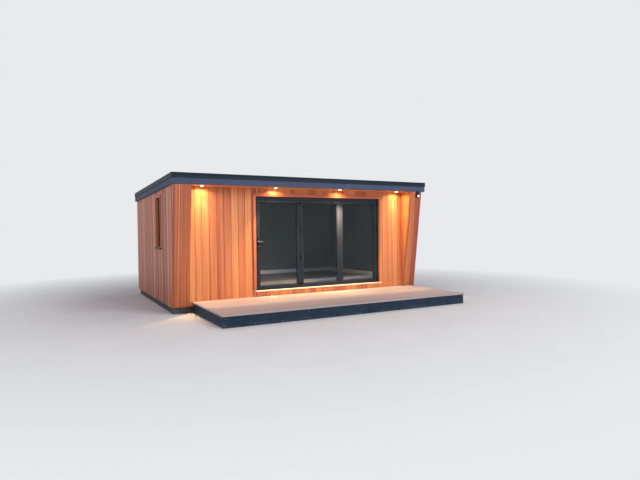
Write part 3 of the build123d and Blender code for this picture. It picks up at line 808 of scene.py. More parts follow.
board_low, board_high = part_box("fascia_front")
fascia_top_level = trim_foot + 0.001
fascia_profile = [
    *lifted(fascia_foot_level, (0.0, 0.004), (0.0012, 0.0012), (0.0040, 0.0), (0.0200, 0.0)),
    *lifted(top, (0.0200, -sheet_drop), (0.0010, -sheet_drop)),
    *lifted(fascia_top_level, (0.0010, 0.001), (0.0, -0.002)),
    *lifted(fascia_foot_level, (0.0, 0.074), (0.0012, 0.072), (0.0012, 0.070), (0.0, 0.068)),
]
fascia_solids = [edge_run(fascia_profile, board_low[0], board_high[0], board_low[1], roof_back - 0.02)]
tail_low, tail_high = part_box("fascia_back")
tail_front, tail_back = tail_low[1], tail_high[1]
tail_profile = [
    *lifted(tail_low[2], (tail_front, 0.0006), (tail_back - 0.003, 0.0002), (tail_back, 0.003)),
    *lifted(tail_high[2], (tail_back, -0.004), (tail_back - 0.003, -0.001), (tail_front, -0.0006)),
]
fascia_solids.append(bar(tail_profile, tail_low[0] * X, tail_high[0] * X, Y, Z))
fascia_finish = coated_metal("fascia_coat", tone(72, 81, 105), tone(92, 101, 125), 0.55, 0.04)
fascia_nodes = ("fascia_front", "fascia_sides", "fascia_back")
piece("fascia_boards", fascia_solids, fascia_finish, "fascia_board", *fascia_nodes, smooth=40)


# Rainwater goods: a black half-round gutter behind the low edge of the roof and a round downpipe. The gutter
# is two lengths pressed into fascia brackets and joined by a union, with an end cap at each side. The pipe
# pushes up into the gutter's outlet and is held off the boards by clips with two screws each.
def black_plastic():
    """Extruded black plastic: faint drawing lines along the run, and dust in slow patches."""
    mix = Finish("black_plastic", Specular_IOR_Level=0.5)
    dust = mix.noise(mix.place, 5, 4)
    lines = mix.drawn(mix.place, (2, 300, 300))
    colour = mix.tones(dust, (20, 21, 23), (46, 47, 48), 0.35, 0.75)
    return mix.coat(colour, mix.level(dust, 0.3, 0.7, 0.28, 0.5), lines, 0.0002, 0.4)


gutter_low, gutter_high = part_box("gutter")
gutter_y = (gutter_low[1] + gutter_high[1]) / 2
gutter_rim = gutter_high[2]
gutter_radius = (gutter_high[1] - gutter_low[1]) / 2
half_turn = np.linspace(math.pi, 2 * math.pi, 33)
half_circle = np.stack([np.cos(half_turn), np.sin(half_turn)], axis=1)


def half_round(outer, inner, bead=0.0):
    """A half-round trough as a profile about its middle: an arc out, a rim that may be rolled inwards by the
    size of its bead, and an arc back inside."""
    rim = np.array([[outer - bead, 0.0015], [inner - bead, -0.001], [inner - bead, -0.004]])
    rim = rim if bead else rim[:0]
    return np.concatenate([half_circle * outer, rim, half_circle[::-1] * inner, (rim * [-1, 1])[::-1]])


def along_gutter(profile, start, end):
    """A gutter part between two places along X."""
    middle = np.array([0.0, gutter_y, gutter_rim - 0.002])
    return bar(profile, middle + start * X, middle + end * X, Y, Z)


trough = half_round(gutter_radius - 0.002, gutter_radius - 0.0045, 0.003)
strap = half_round(gutter_radius, gutter_radius - 0.0018)
cap = half_circle * gutter_radius
cap_thick = 0.003
bracket_half = 0.014
union_half = 0.07
gutter_solids = [along_gutter(trough, gutter_low[0] + cap_thick, gutter_high[0] - cap_thick)]
brackets_x = np.linspace(-2.45, 2.35, 7)
gutter_solids += [along_gutter(strap, x - bracket_half, x + bracket_half) for x in brackets_x]
gutter_solids.append(along_gutter(strap, -union_half, union_half))
gutter_solids.append(along_gutter(cap, gutter_low[0], gutter_low[0] + cap_thick))
gutter_solids.append(along_gutter(cap, gutter_high[0] - cap_thick, gutter_high[0]))
pipe_low, pipe_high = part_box("downpipe")
pipe_x = (pipe_low[0] + pipe_high[0]) / 2
pipe_radius = pipe_high[1] - gutter_y
outlet_top = gutter_rim - gutter_radius
outlet_profile = [
    (pipe_radius - 0.003, -0.075),
    (pipe_radius + 0.004, -0.075),
    (pipe_radius + 0.004, -0.010),
    (pipe_radius + 0.012, 0.004),
    (pipe_radius + 0.009, 0.004),
    (pipe_radius + 0.001, -0.008),
    (pipe_radius + 0.001, -0.04),
]
gutter_solids.append(turned(outlet_profile, np.array([pipe_x, gutter_y, outlet_top]), Z, X, closed=True))
plastic_finish = black_plastic()
piece("gutter_run", gutter_solids, plastic_finish, "gutter_black", "gutter", smooth=35)

pipe_foot = np.array([pipe_x, gutter_y, pipe_low[2]])
outlet_lap = 0.042
pipe_length = outlet_top - outlet_lap - pipe_low[2]
bore = pipe_radius - 0.003
collar = pipe_radius + 0.0035
collar_foot, collar_head = 1.02, 1.092
pipe_profile = [
    (bore, 0.0),
    (pipe_radius, 0.0),
    (pipe_radius, collar_foot),
    (collar, collar_foot + 0.002),
    (collar, collar_head - 0.004),
    (pipe_radius, collar_head),
    (pipe_radius, pipe_length),
    (bore, pipe_length),
]
pipe_solids = [turned(pipe_profile, pipe_foot, Z, X, closed=True)]


def oblong(low, high, half_height):
    """A four-cornered profile between two places across, and half its height to each side of its middle."""
    return [(low, -half_height), (high, -half_height), (high, half_height), (low, half_height)]


clip_half = 0.014
clip_heights = (0.16, 0.92, 1.68)
clip_foot_thick = 0.005
clip_screw_x = 0.028
clip_band = oblong(pipe_radius + 0.0002, pipe_radius + 0.003, clip_half)
clip_foot = oblong(-0.042, 0.042, clip_half)
clip_leg = oblong(-0.009, 0.009, clip_half - 0.001)
screw_profile = [(0.0045, 0.0), (0.0045, 0.0008), (0.0030, 0.0022)]
for height in clip_heights:
    middle = np.array([pipe_x, gutter_y, height])
    wall = np.array([pipe_x, back_high[1], height])
    foot_face = wall + clip_foot_thick * Y
    pipe_solids.append(turned(clip_band, middle, Z, X, closed=True))
    pipe_solids.append(bar(clip_foot, wall, foot_face, X, Z))
    pipe_solids.append(bar(clip_leg, foot_face, middle - (pipe_radius + 0.001) * Y, X, Z))
    for side in (-clip_screw_x, clip_screw_x):
        pipe_solids.append(turned(screw_profile, foot_face + side * X, Y, X, around=12))
piece("rainwater_pipe", pipe_solids, plastic_finish, "gutter_black", "downpipe", smooth=35)


# Folding doors: an anthracite powder-coated aluminium frame with three leaves. Every bar is an extruded
# section cut to 45 degrees at the corners, and the leaves' glass is held by sloping beads and black gaskets.
def mitred(profile, outline, widths=(0, 0, 0, 0)):
    """A frame whose section goes round four mitred corners. Each profile point is a share of the side's
    width, a step in metres added to it, and a depth, so it lies share x width + step in from each edge of
    the outline. The result lies in the plane of X and Z."""
    share, step, depth = np.array(profile, dtype=float).T
    left, right, foot, head = [share * width + step for width in widths]
    x_low, x_high, z_low, z_high = outline
    x = np.stack([x_low + left, x_high - right, x_high - right, x_low + left])
    z = np.stack([z_low + foot, z_low + foot, z_high - head, z_high - head])
    rings = np.stack([x, np.broadcast_to(depth, x.shape), z], axis=-1)
    return lofted(rings, closed=True)


def stepped(share, depth, *steps):
    """Section points of one share, each given as its step in metres and how far it lies behind a depth."""
    return [(share, *point) for point in lifted(depth, *steps)]


def glazed_edge(face, front, rear):
    """The side of a section towards its glass: a groove in the face, the sloping bead, and the rebate that
    the glass stands in, between its front and its rear."""
    return [
        *stepped(1.0, face, (-0.0175, 0.0), (-0.0163, 0.0012), (-0.0163, 0.0055), (-0.0150, 0.0045)),
        *stepped(1.0, face, (-0.0135, 0.0052), (-0.0040, 0.0108), (-0.0030, 0.0125)),
        *stepped(1.0, front, (-0.0030, -0.0005), (0.0, 0.0)),
        *stepped(1.0, rear, (0.0, 0.0), (-0.0030, 0.0005)),
    ]


door_finish = coated_metal("anthracite_coat", tone(24, 33, 46), tone(34, 44, 57), 0.4, 0.2)
gasket_tones = ((12, 12, 13), (28, 28, 29))
gasket_levels = (0, 1, 0.55, 0.75)
gasket_finish = grained("gasket_rubber", 260, 3, gasket_tones, gasket_levels, 0.0002, Specular_IOR_Level=0.3)

jamb = 0.036
head = 0.06
threshold = 0.018
frame_face, frame_rear = door_low[1], door_high[1]
door_outline = (door_low[0], door_high[0], door_low[2], door_high[2])
frame_profile = [
    (0.0, 0.0, frame_rear),
    *stepped(0.0, frame_face, (0.0, 0.0015), (0.0015, 0.0)),
    *stepped(1.0, frame_face, (-0.0110, 0.0), (-0.0102, 0.0015), (-0.0088, 0.0015), (-0.0080, 0.0)),
    *stepped(1.0, frame_face, (-0.0012, 0.0), (0.0, 0.0012)),
    (1.0, 0.0, frame_rear),
]
frame_solid = mitred(frame_profile, door_outline, (jamb, jamb, threshold, head))
piece("door_surround_frame", [frame_solid], door_finish, "door_aluminium", "door_frame", smooth=30)

stile = 0.07
lock_stile = 0.058
hinge_stile = 0.086
top_rail = 0.066
bottom_rail = 0.06
leaf_face, leaf_rear = [corner[1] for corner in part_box("door_leaf_1")]
glass_front, glass_rear = [corner[1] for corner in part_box("door_glass")]
leaf_profile = [
    (0.0, 0.0, leaf_rear - 0.0015),
    *stepped(0.0, leaf_face, (0.0, 0.0015), (0.0015, 0.0)),
    *glazed_edge(leaf_face, glass_front, glass_rear),
    *stepped(1.0, leaf_rear, (-0.0030, -0.0120), (-0.0050, -0.0090), (-0.0192, -0.0015), (-0.0230, 0.0)),
    (0.0, 0.0015, leaf_rear),
]
bead_gasket_profile = [
    *stepped(1.0, glass_front, (-0.0031, -0.0060), (0.0014, -0.0045), (0.0022, -0.0010)),
    *stepped(1.0, glass_front, (0.0022, -0.0001), (-0.0031, -0.0001)),
]
glass_sum = glass_front + glass_rear
rear_gasket_profile = [(share, step, glass_sum - depth) for share, step, depth in bead_gasket_profile]
edge_seal_steps = [(0.0001, 0.0070), (-0.0019, 0.0060), (-0.0019, 0.0140), (0.0001, 0.0150)]
edge_seal_profile = stepped(0.0, leaf_face, *edge_seal_steps)
pane = 0.004
spacer_front = glass_front + pane + 0.0002
spacer_rear = glass_rear - pane - 0.0002
spacer_profile = [
    *stepped(0.0, spacer_front, (0.0001, 0.0), (0.0070, 0.0), (0.0085, 0.0028)),
    *stepped(0.0, spacer_rear, (0.0085, -0.0028), (0.0070, 0.0), (0.0001, 0.0)),
]


def clear_glass(name, tint, index):
    """Float glass with a grey coat and a refractive index: clear, with smears of dried rain that only
    roughen it a little, and a slow wave of tempering in its relief."""
    mix = Finish(name, IOR=index, Transmission_Weight=1.0)
    smears = mix.drawn(mix.place, (3.0, 3.0, 1.1), 4, 0.6)
    wave = mix.drawn(mix.place, (2.2, 2.2, 3.4), 1)
    colour = mix.ramp(smears, [(0.3, tint), (0.7, tuple(min(1.0, 1.04 * part) for part in tint))])
    return mix.coat(colour, mix.level(smears, 0.45, 0.8, 0.0, 0.03), wave, 0.0006, 0.15)


def slab(low, high):
    """A pane with an eased arris: a box whose four edges along each face are cut back by 0.3 mm."""
    cut = 0.0003
    thin = int(np.argmin(np.subtract(high, low)))
    first, second = [axis for axis in range(3) if axis != thin]
    near, far = low[thin], high[thin]
    rings = []
    for level, inset in ((near, cut), (near + cut, 0.0), (far - cut, 0.0), (far, cut)):
        start, end = np.array(low) + inset, np.array(high) - inset
        ring = np.full((4, 3), level)
        ring[:, first] = [start[first], end[first], end[first], start[first]]
        ring[:, second] = [start[second], start[second], end[second], end[second]]
        rings.append(ring)
    return lofted(np.array(rings))


seals = []
spacers = []
panes = []
for number in (1, 2, 3):
    leaf_low, leaf_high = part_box(f"door_leaf_{number}")
    left_stile = lock_stile if number == 1 else stile
    right_stile = hinge_stile if number == 3 else stile
    widths = (left_stile, right_stile, bottom_rail, top_rail)
    outline = (leaf_low[0], leaf_high[0], leaf_low[2], leaf_high[2])
    leaf = mitred(leaf_profile, outline, widths)
    piece(f"door_panel_{number}", [leaf], door_finish, "door_aluminium", f"door_leaf_{number}", smooth=30)
    for profile in (bead_gasket_profile, rear_gasket_profile, edge_seal_profile):
        seals.append(mitred(profile, outline, widths))
    clear_x = (outline[0] + left_stile, outline[1] - right_stile)
    clear_z = (outline[2] + bottom_rail, outline[3] - top_rail)
    spacers.append(mitred(spacer_profile, (*clear_x, *clear_z)))
    for front, rear in ((glass_front, glass_front + pane), (glass_rear - pane, glass_rear)):
        panes.append(slab((clear_x[0], front, clear_z[0]), (clear_x[1], rear, clear_z[1])))
piece("door_seals", seals, gasket_finish, "door_aluminium")
piece("door_glass_spacers", spacers, gasket_finish, "door_aluminium")
glass_finish = clear_glass("door_glazing", (0.80, 0.86, 0.90, 1.0), 1.2)
door_panes = piece("door_panes", panes, glass_finish, "glazing", "door_glass")
door_panes.visible_shadow = False


# Door furniture: black knuckle hinges between the first two leaves and where the third hangs from the
# frame, with a cap at each end of the pin and two screws in each wing. The first leaf has a black backplate,
# a brushed steel lever on a round rose and a keyed cylinder. Each of the first two has a black catch above.
black_tones = ((5, 5, 7), (12, 12, 14))
black_levels = (0, 1, 0.4, 0.55)
black_finish = grained("black_anodised", 420, 3, black_tones, black_levels, 0.0001, Specular_IOR_Level=0.06)
refinish(black_finish, "door_hinges")

hinge_low, hinge_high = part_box("door_hinges")
hinge_reach = 0.026
hinge_half = 0.045
hinge_thick = 0.003
pin_proud = 0.004
wing_screw_x, wing_screw_z = 0.018, 0.030
hinge_face = hinge_high[1] - hinge_thick
pin_y = hinge_face - pin_proud
pin_profile = [(0.0055, 0.0), (0.0082, 0.0004), (0.0082, 0.0030), (0.0060, 0.0048), (0.0025, 0.0054)]
screws = []
pins = []
for hinge_x in (hinge_low[0] + hinge_reach, hinge_high[0] - hinge_reach):
    for height in np.linspace(hinge_low[2] + hinge_half, hinge_high[2] - hinge_half, 4):
        for side in (-wing_screw_x, wing_screw_x):
            for rise in (-wing_screw_z, wing_screw_z):
                place = np.array([hinge_x + side, hinge_face, height + rise])
                screws.append(turned(screw_profile, place, -Y, X, 14))
        for way in (-1, 1):
            end = np.array([hinge_x, pin_y, height + way * hinge_half])
            pins.append(turned(pin_profile, end, way * Z, X, 24))
piece("hinge_screws", screws, steel_finish, "handle_steel", smooth=35)
piece("hinge_pin_caps", pins, black_finish, "handle_steel", smooth=35)


def plate(levels, half_width, low, high, radius, foot, up, out):
    """A plate built up from one outline for each (height, inset): an upright rectangle with round corners,
    drawn in by the inset. It stands on its foot, with its width along X, its length along up and its height
    along out."""
    quarter = np.linspace(0, math.pi / 2, 7)
    angles = np.concatenate([quarter + corner * math.pi / 2 for corner in range(4)])
    x_middles = (half_width - radius) * np.repeat([1, -1, -1, 1], 7)
    z_middles = np.repeat([high - radius, high - radius, low + radius, low + radius], 7)
    rings = []
    for height, inset in levels:
        x = x_middles + (radius - inset) * np.cos(angles)
        z = z_middles + (radius - inset) * np.sin(angles)
        rings.append(foot + x[:, None] * X + z[:, None] * up + height * out)
    return lofted(np.array(rings))


handle_low, handle_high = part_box("door_handle")
plate_half = 0.018
plate_thick = 0.009
plate_x = handle_low[0] + plate_half
plate_low, plate_high = handle_low[2], handle_high[2]
plate_levels = [(0.0, 0.0), (0.0065, 0.0), (0.0085, 0.0012), (plate_thick, 0.0030)]
plate_foot = np.array([plate_x, leaf_face, 0.0])
backplate = plate(plate_levels, plate_half, plate_low, plate_high, 0.011, plate_foot, Z, -Y)
piece("handle_plate", [backplate], black_finish, "handle_steel", "door_handle", smooth=35)


def swept(path, radii, flat=1.0):
    """A round bar along a line of points: at each point a circle of that point's radius, square to the line,
    squeezed upright by the flat share."""
    travel = np.gradient(path, axis=0)
    travel /= np.linalg.norm(travel, axis=1)[:, None]
    side = np.cross(travel, Z)
    side /= np.linalg.norm(side, axis=1)[:, None]
    rise = np.cross(side, travel)
    angles = np.linspace(0, 2 * math.pi, 24, endpoint=False)[:, None]
    circles = np.cos(angles) * side[:, None] + flat * np.sin(angles) * rise[:, None]
    return lofted(path[:, None] + radii[:, None, None] * circles)


plate_face = leaf_face - plate_thick
spindle_rise = 0.048
neck_length = 0.021
spindle_z = (plate_low + plate_high) / 2 + spindle_rise
lever_y = handle_low[1] + plate_thick
neck_end = plate_face - neck_length
neck = [(plate_x, y, spindle_z) for y in np.linspace(plate_face, neck_end, 6)]
bend_radius = abs(lever_y - neck_end)
bend_angles = np.linspace(0, math.pi / 2, 10)[1:]
bend_x = plate_x + bend_radius * (1 - np.cos(bend_angles))
bend_y = neck_end - bend_radius * np.sin(bend_angles)
bend = [(x, y, spindle_z) for x, y in zip(bend_x, bend_y)]
grip_x = np.linspace(bend_x[-1], handle_high[0] - 0.001, 14)
grip_shares = (grip_x - grip_x[0]) / (grip_x[-1] - grip_x[0])
grip_drop = 0.008
grip = [(x, lever_y, spindle_z - grip_drop * share**1.5) for x, share in zip(grip_x[1:], grip_shares[1:])]
lever_path = np.array(neck + bend + grip)
lever_radii = np.full(len(lever_path), 0.0082)
lever_radii[:2] = 0.0095
lever_radii[-3:] = (0.0080, 0.0072, 0.0045)
rose = [(0.0150, 0.0), (0.0150, 0.0035), (0.0135, 0.0055), (0.0098, 0.0062)]
cylinder = [(0.0085, 0.0), (0.0085, 0.0030), (0.0078, 0.0038), (0.0035, 0.0038), (0.0030, 0.0026)]
cylinder_drop = 0.096
screw_inset = 0.012
handle_solids = [swept(lever_path, lever_radii, 0.86)]
for profile, height, around in (
    (rose, spindle_z, 48),
    (cylinder, spindle_z - cylinder_drop, 32),
    (screw_profile, plate_low + screw_inset, 14),
    (screw_profile, plate_high - screw_inset, 14),
):
    handle_solids.append(turned(profile, np.array([plate_x, plate_face, height]), -Y, X, around))
piece("handle_lever", handle_solids, steel_finish, "handle_steel", smooth=40)

catch_half = [(0.007, 0.0), (0.007, 0.014), (0.005, 0.017)]
catch_profile = catch_half + [(-across, out) for across, out in catch_half[::-1]]
catch_drop, catch_tall = 0.052, 0.042
catches_x = (-0.86, 0.62)
catches = []
for catch_x in catches_x:
    start = np.array([catch_x, leaf_face, door_high[2] - head - catch_drop])
    catches.append(bar(catch_profile, start, start + catch_tall * Z, X, -Y))
piece("leaf_catches", catches, black_finish, "door_aluminium")


# Door surround: a cedar architrave on three sides, with eased edges and a lining that goes in round the
# frame to the room, and a pale coated sill below. It slopes outwards to a rounded nose and a drip groove.
def trim_section(width, proud, deep):
    """A trim's section out from the opening's edge: its face with eased edges, and the lining behind it."""
    eased = 0.002
    face = [(0.0, proud - eased), (eased, proud), (width - eased, proud), (width, proud - eased)]
    return [(0.0, -deep), *face, (width, 0.0), (lining, 0.0), (lining, -deep)]


def surround(profile, face, run, out, edges, foot, top, reach):
    """Trim round an opening: an upright at each of its edges, and a head that runs past both by a reach.
    face is a place on the wall's face, run goes along the wall, and out goes away from it."""
    bars = []
    for edge, side in zip(edges, (-run, run)):
        place = face + edge * run
        bars.append(bar(profile, place + foot * Z, place + top * Z, side, out, (run, Z)))
    start, end = [face + edge * run + top * Z for edge in (edges[0] - reach, edges[1] + reach)]
    return [*bars, bar(profile, start, end, Z, out, (Z, run))]


trim_width = 0.055
trim_proud = 0.022
wall_deep = 0.145
frame_deep = door_high[1] - front_face
sill_low, sill_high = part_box("door_sill")
sill_foot, sill_top, nose = sill_low[2], sill_high[2], sill_low[1]
front_section = trim_section(trim_width, trim_proud, frame_deep)
back_section = [(0.0, -wall_deep), (0.0, -frame_deep), (lining, -frame_deep), (lining, -wall_deep)]
opening_x = (door_low[0], door_high[0])
trim_solids = []
for section, foot, reach in ((front_section, door_low[2], trim_width), (back_section, sill_foot, lining)):
    trim_solids += surround(section, front_face * Y, X, -Y, opening_x, foot, door_high[2], reach)
piece("door_architrave", trim_solids, cedar_finish, "cedar", "door_trim")

nose_profile = [
    *lifted(sill_foot, (front_face, 0.0005), (nose + 0.014, 0.0005), (nose + 0.013, 0.0035)),
    *lifted(sill_foot, (nose + 0.010, 0.0035), (nose + 0.009, 0.0005), (nose + 0.002, 0.0005)),
    *lifted(sill_foot, (nose, 0.0030), (nose, 0.0105), (nose + 0.0015, 0.0135), (nose + 0.005, 0.0155)),
    (front_face, sill_top - 0.0010),
]
inner_profile = [
    (front_face + 0.0001, sill_foot + 0.0005),
    (front_face + 0.0001, sill_top - 0.0010),
    (frame_face - 0.0005, sill_top - 0.0002),
    (sill_high[1], sill_top - 0.0002),
    (sill_high[1], sill_foot + 0.0005),
]
lining_clearance = 0.011
sill_finish = coated_metal("pale_sill_coat", tone(196, 190, 180), tone(168, 160, 148), 0.45)
sill_solids = [
    bar(nose_profile, sill_low[0] * X, sill_high[0] * X, Y, Z),
    bar(inner_profile, (opening_x[0] - lining_clearance) * X, (opening_x[1] + lining_clearance) * X, Y, Z),
]
piece("door_threshold_sill", sill_solids, sill_finish, "pale_sill", "door_sill", smooth=35)


# Slot window: a tall fixed light in the left wall, in a narrow anthracite frame set back behind cedar
# linings. A cedar trim frames it, and a dark pressed sill with turned-up ends throws water off the boards.
left_face = wing_low[0]
slot_y = (window_low[1], window_high[1])
slot_z = (window_low[2], window_high[2])
frame_front, frame_back = window_low[0], window_high[0]
window_face = 0.048


def sideways(made):
    """A solid drawn in the plane of X and Z, laid over into the plane of Y and Z. Swapping two axes turns it
    inside out, so its faces are turned again."""
    points, groups, timber = made
    return points[:, [1, 0, 2]], turned_out(points[:, [1, 0, 2]], groups), timber


light_front, light_back = [corner[0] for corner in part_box("window_glass")]
slot_profile = [
    (0.0, 0.0, frame_back),
    *stepped(0.0, frame_front, (0.0, 0.0012), (0.0012, 0.0)),
    *glazed_edge(frame_front, light_front, light_back),
    *stepped(1.0, frame_back, (-0.0030, -0.0100), (-0.0190, 0.0)),
]
slot = (*slot_y, *slot_z)
slot_clear = (slot[0] + window_face, slot[1] - window_face, slot[2] + window_face, slot[3] - window_face)
slot_widths = (window_face,) * 4
slot_frame = sideways(mitred(slot_profile, slot, slot_widths))
piece("slot_window_frame", [slot_frame], door_finish, "door_aluminium", "window_frame", smooth=30)
slot_gaskets = []
for profile, outline, widths in (
    (bead_gasket_profile, slot, slot_widths),
    (rear_gasket_profile, slot, slot_widths),
    (spacer_profile, slot_clear, (0, 0, 0, 0)),
):
    moved = [(share, step, depth + light_front - glass_front) for share, step, depth in profile]
    slot_gaskets.append(sideways(mitred(moved, outline, widths)))
piece("slot_window_seals", slot_gaskets, gasket_finish, "door_aluminium")
slot_panes = [
    slab((front, slot_clear[0], slot_clear[2]), (rear, slot_clear[1], slot_clear[3]))
    for front, rear in ((light_front, light_front + pane), (light_back - pane, light_back))
]
slot_glass = clear_glass("slot_glazing", (0.64, 0.71, 0.75, 1.0), 1.5)
window_panes = piece("slot_window_panes", slot_panes, slot_glass, "glazing", "window_glass")
window_panes.visible_shadow = False

slot_trim_width = 0.042
slot_trim_proud = 0.014
slot_section = trim_section(slot_trim_width, slot_trim_proud, wall_deep)
wall_face = left_face * X
slot_foot = slot_z[0] - lining
window_solids = surround(slot_section, wall_face, Y, -X, slot_y, slot_foot, slot_z[1], slot_trim_width)
foot_lining = lining - 0.0005
foot_section = [(0.0, -wall_deep), (0.0, 0.0), (-foot_lining, 0.0), (-foot_lining, -wall_deep)]
foot_ends = [wall_face + y * Y + slot_z[0] * Z for y in slot_y]
window_solids.append(bar(foot_section, *foot_ends, Z, -X, (Z, Y)))
piece("slot_window_trim", window_solids, cedar_finish, "cedar", "window_trim")

ledge_low, ledge_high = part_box("window_sill")
ledge_front, ledge_back = ledge_low[0], ledge_high[0]
ledge_profile = [
    *lifted(ledge_low[2], (ledge_back, 0.0020), (ledge_front + 0.004, 0.0020), (ledge_front + 0.003, 0.0)),
    *lifted(ledge_low[2], (ledge_front + 0.001, 0.0), (ledge_front, 0.0020)),
    *lifted(ledge_high[2], (ledge_front, -0.0080), (ledge_front + 0.0015, -0.0060), (ledge_back, -0.0005)),
]
ledge_solids = [bar(ledge_profile, (ledge_low[1] + 0.003) * Y, (ledge_high[1] - 0.003) * Y, X, Z)]
turned_up = 0.0028
end_profile = [
    *lifted(ledge_low[2], (ledge_back, 0.0010), (ledge_front, 0.0010)),
    *lifted(ledge_high[2], (ledge_front, -0.0040), (ledge_back, 0.0080)),
]
for y in (ledge_low[1], ledge_high[1] - turned_up):
    ledge_solids.append(bar(end_profile, y * Y, (y + turned_up) * Y, X, Z))
piece("slot_window_sill", ledge_solids, door_finish, "door_aluminium", "window_sill", smooth=30)


# Deck: buff decking boards laid along the front on a grid of joists, each with round edges and a 5 mm gap to
# the next. Dark slate boards close its edge, butted at a joist and fixed with pairs of steel screws.
def decking():
    """Buff decking: the cedar's frame of each board with a paler, greyer ramp, drawn-out grain, and a
    scuffed bloom where a slow noise is high."""
    buffs = [(0.15, (190, 173, 171)), (0.5, (174, 158, 159)), (0.85, (154, 141, 144))]
    mix = Finish("decking", Specular_IOR_Level=0.35)
    _, chances, place = mix.timber((11, 7, 13))
    pick = mix.split(chances)[0]
    streaks = mix.drawn(place, (70, 70, 1.1), 4, 0.6)
    bands = mix.drawn(place, (16, 16, 0.7))
    fibre = mix.drawn(place, (500, 500, 16))
    scuff = mix.noise(mix.place, 1.6, 4, 0.6)
    shade = mix.math("MULTIPLY_ADD", pick, 0.35, mix.math("MULTIPLY", bands, 0.65))
    colour = mix.ramp(shade, [(position, tone(*buff)) for position, buff in buffs])
    colour = mix.shaded(0.6, colour, streaks, 0.25, 0.75, 0.84, 1.1)
    colour = mix.mix(mix.level(scuff, 0.45, 0.8, 0.0, 0.3), colour, tone(184, 178, 177))
    height = mix.math("MULTIPLY_ADD", streaks, 0.6, fibre)
    return mix.coat(colour, mix.level(fibre, 0.25, 0.75, 0.5, 0.68), height, 0.0005, 0.7)


deck_low, deck_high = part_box("deck_boards")
deck_dice = np.random.default_rng(7)
board_rows = 12
deck_gap = 0.005
row_pitch = (deck_high[1] - deck_low[1] + deck_gap) / board_rows
notch_gap = 0.003
notch_x = -wing_high[0] - notch_gap
notch_y = wing_foot_y - (deck_high[2] - wing_low[2]) * lean - notch_gap
most_trimmed = 0.002
round_steps = np.array([0.0, 0.0008, 0.0022, 0.0045])
round_drops = np.array([0.0060, 0.0030, 0.0010, 0.0])
crown_drop = 0.0003
end_round = 0.0015
end_drop = 0.002
under_clearance = 0.0002
# Each board's top is a grid of places along and across it, lowered towards all four edges to round them. The
# last row goes round the foot of the right cheek, so its cells there are left out.
deck_solids = []
for row in range(board_rows):
    last = row == board_rows - 1
    y_low = deck_low[1] + row * row_pitch
    y_high = min(y_low + row_pitch - deck_gap, deck_high[1])
    trimmed = deck_dice.random(2) * most_trimmed
    low_x, high_x = deck_low[0] + trimmed[0], deck_high[0] - trimmed[1]
    lines = np.concatenate([y_low + round_steps, [(y_low + y_high) / 2], y_high - round_steps[::-1]])
    falls = np.concatenate([round_drops, [crown_drop], round_drops[::-1]])
    ends = np.array([low_x, low_x + end_round, high_x - end_round, high_x])
    end_falls = np.array([end_drop, 0.0, 0.0, end_drop])
    if last:
        order = np.argsort(np.append(lines, notch_y))
        falls = np.append(falls, np.interp(notch_y, lines, falls))[order]
        lines = np.append(lines, notch_y)[order]
        ends = np.insert(ends, 2, notch_x)
        end_falls = np.insert(end_falls, 2, 0.0)
    flat_y, flat_x = np.meshgrid(lines, ends, indexing="ij")
    levels = deck_high[2] - np.maximum(falls[:, None], end_falls[None])
    top_points = np.stack([flat_x, flat_y, levels], axis=-1)[:, ::-1]
    under_levels = np.full_like(flat_x, deck_low[2] + under_clearance)
    under_points = np.stack([flat_x, flat_y, under_levels], axis=-1)[:, ::-1]
    keep = np.ones((len(lines) - 1, len(ends) - 1), dtype=bool)
    if last:
        beyond = (lines[:-1] >= notch_y - 1e-6)[:, None] & (ends[:-1] >= notch_x - 1e-6)[None]
        keep = ~beyond[:, ::-1]
    deck_solids.append(solid(*shell(top_points, under_points, keep), (Y, X), deck_dice))
piece("decking_boards", deck_solids, decking(), "deck_timber", "deck_boards")


def slate_board():
    """Dark slate composite: an embossed grain along the board, and a pale bloom of dust towards its foot."""
    mix = Finish("slate_board", Specular_IOR_Level=0.15)
    place = mix.timber((5, 3, 9))[2]
    streaks = mix.drawn(place, (90, 90, 3.0), 4, 0.6)
    mottle = mix.drawn(mix.place, (5, 5, 9), 5, 0.65)
    low = mix.level(mix.along((0, 0, 1)), 0.0, 0.07, 0.6, 0.0)
    dust = mix.math("MULTIPLY", mix.level(mottle, 0.35, 0.7), mix.math("ADD", low, 0.25))
    colour = mix.mix(dust, mix.tones(streaks, (15, 37, 56), (28, 52, 72)), tone(78, 84, 94))
    return mix.coat(colour, mix.level(streaks, 0.3, 0.7, 0.5, 0.68), streaks, 0.0006, 0.7)


skirt_low, skirt_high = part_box("deck_fascia_front")
side_skirt_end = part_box("deck_fascia_sides")[1][1] - 0.002
skirt_top = skirt_high[2] - 0.0005
skirt_back = skirt_high[1] - skirt_low[1] - 0.001
edge_board = [
    (0.002, 0.0),
    (0.0, 0.002),
    *lifted(skirt_top, (0.0, -0.004), (0.0012, -0.0012), (0.004, 0.0), (skirt_back, 0.0)),
    (skirt_back, 0.0),
]
joint = 0.123
joint_half = 0.001
notch_back = notch_y - 0.002
corner_y = skirt_low[1] + 0.0015
edge_runs = [
    ((skirt_low[0] + joint_half, skirt_low[1]), (joint - joint_half, skirt_low[1]), Y, X),
    ((joint + joint_half, skirt_low[1]), (skirt_high[0] - joint_half, skirt_low[1]), Y, X),
    ((skirt_low[0], corner_y), (skirt_low[0], side_skirt_end), X, Y),
    ((skirt_high[0], corner_y), (skirt_high[0], notch_back), -X, Y),
]
edge_solids = []
for start, end, inwards, run in edge_runs:
    edge_solids.append(bar(edge_board, (*start, 0.0), (*end, 0.0), inwards, Z, (Z, run)))
skirt_nodes = ("deck_fascia_front", "deck_fascia_sides")
piece("deck_edge_boards", edge_solids, slate_board(), "deck_edge_board", *skirt_nodes)

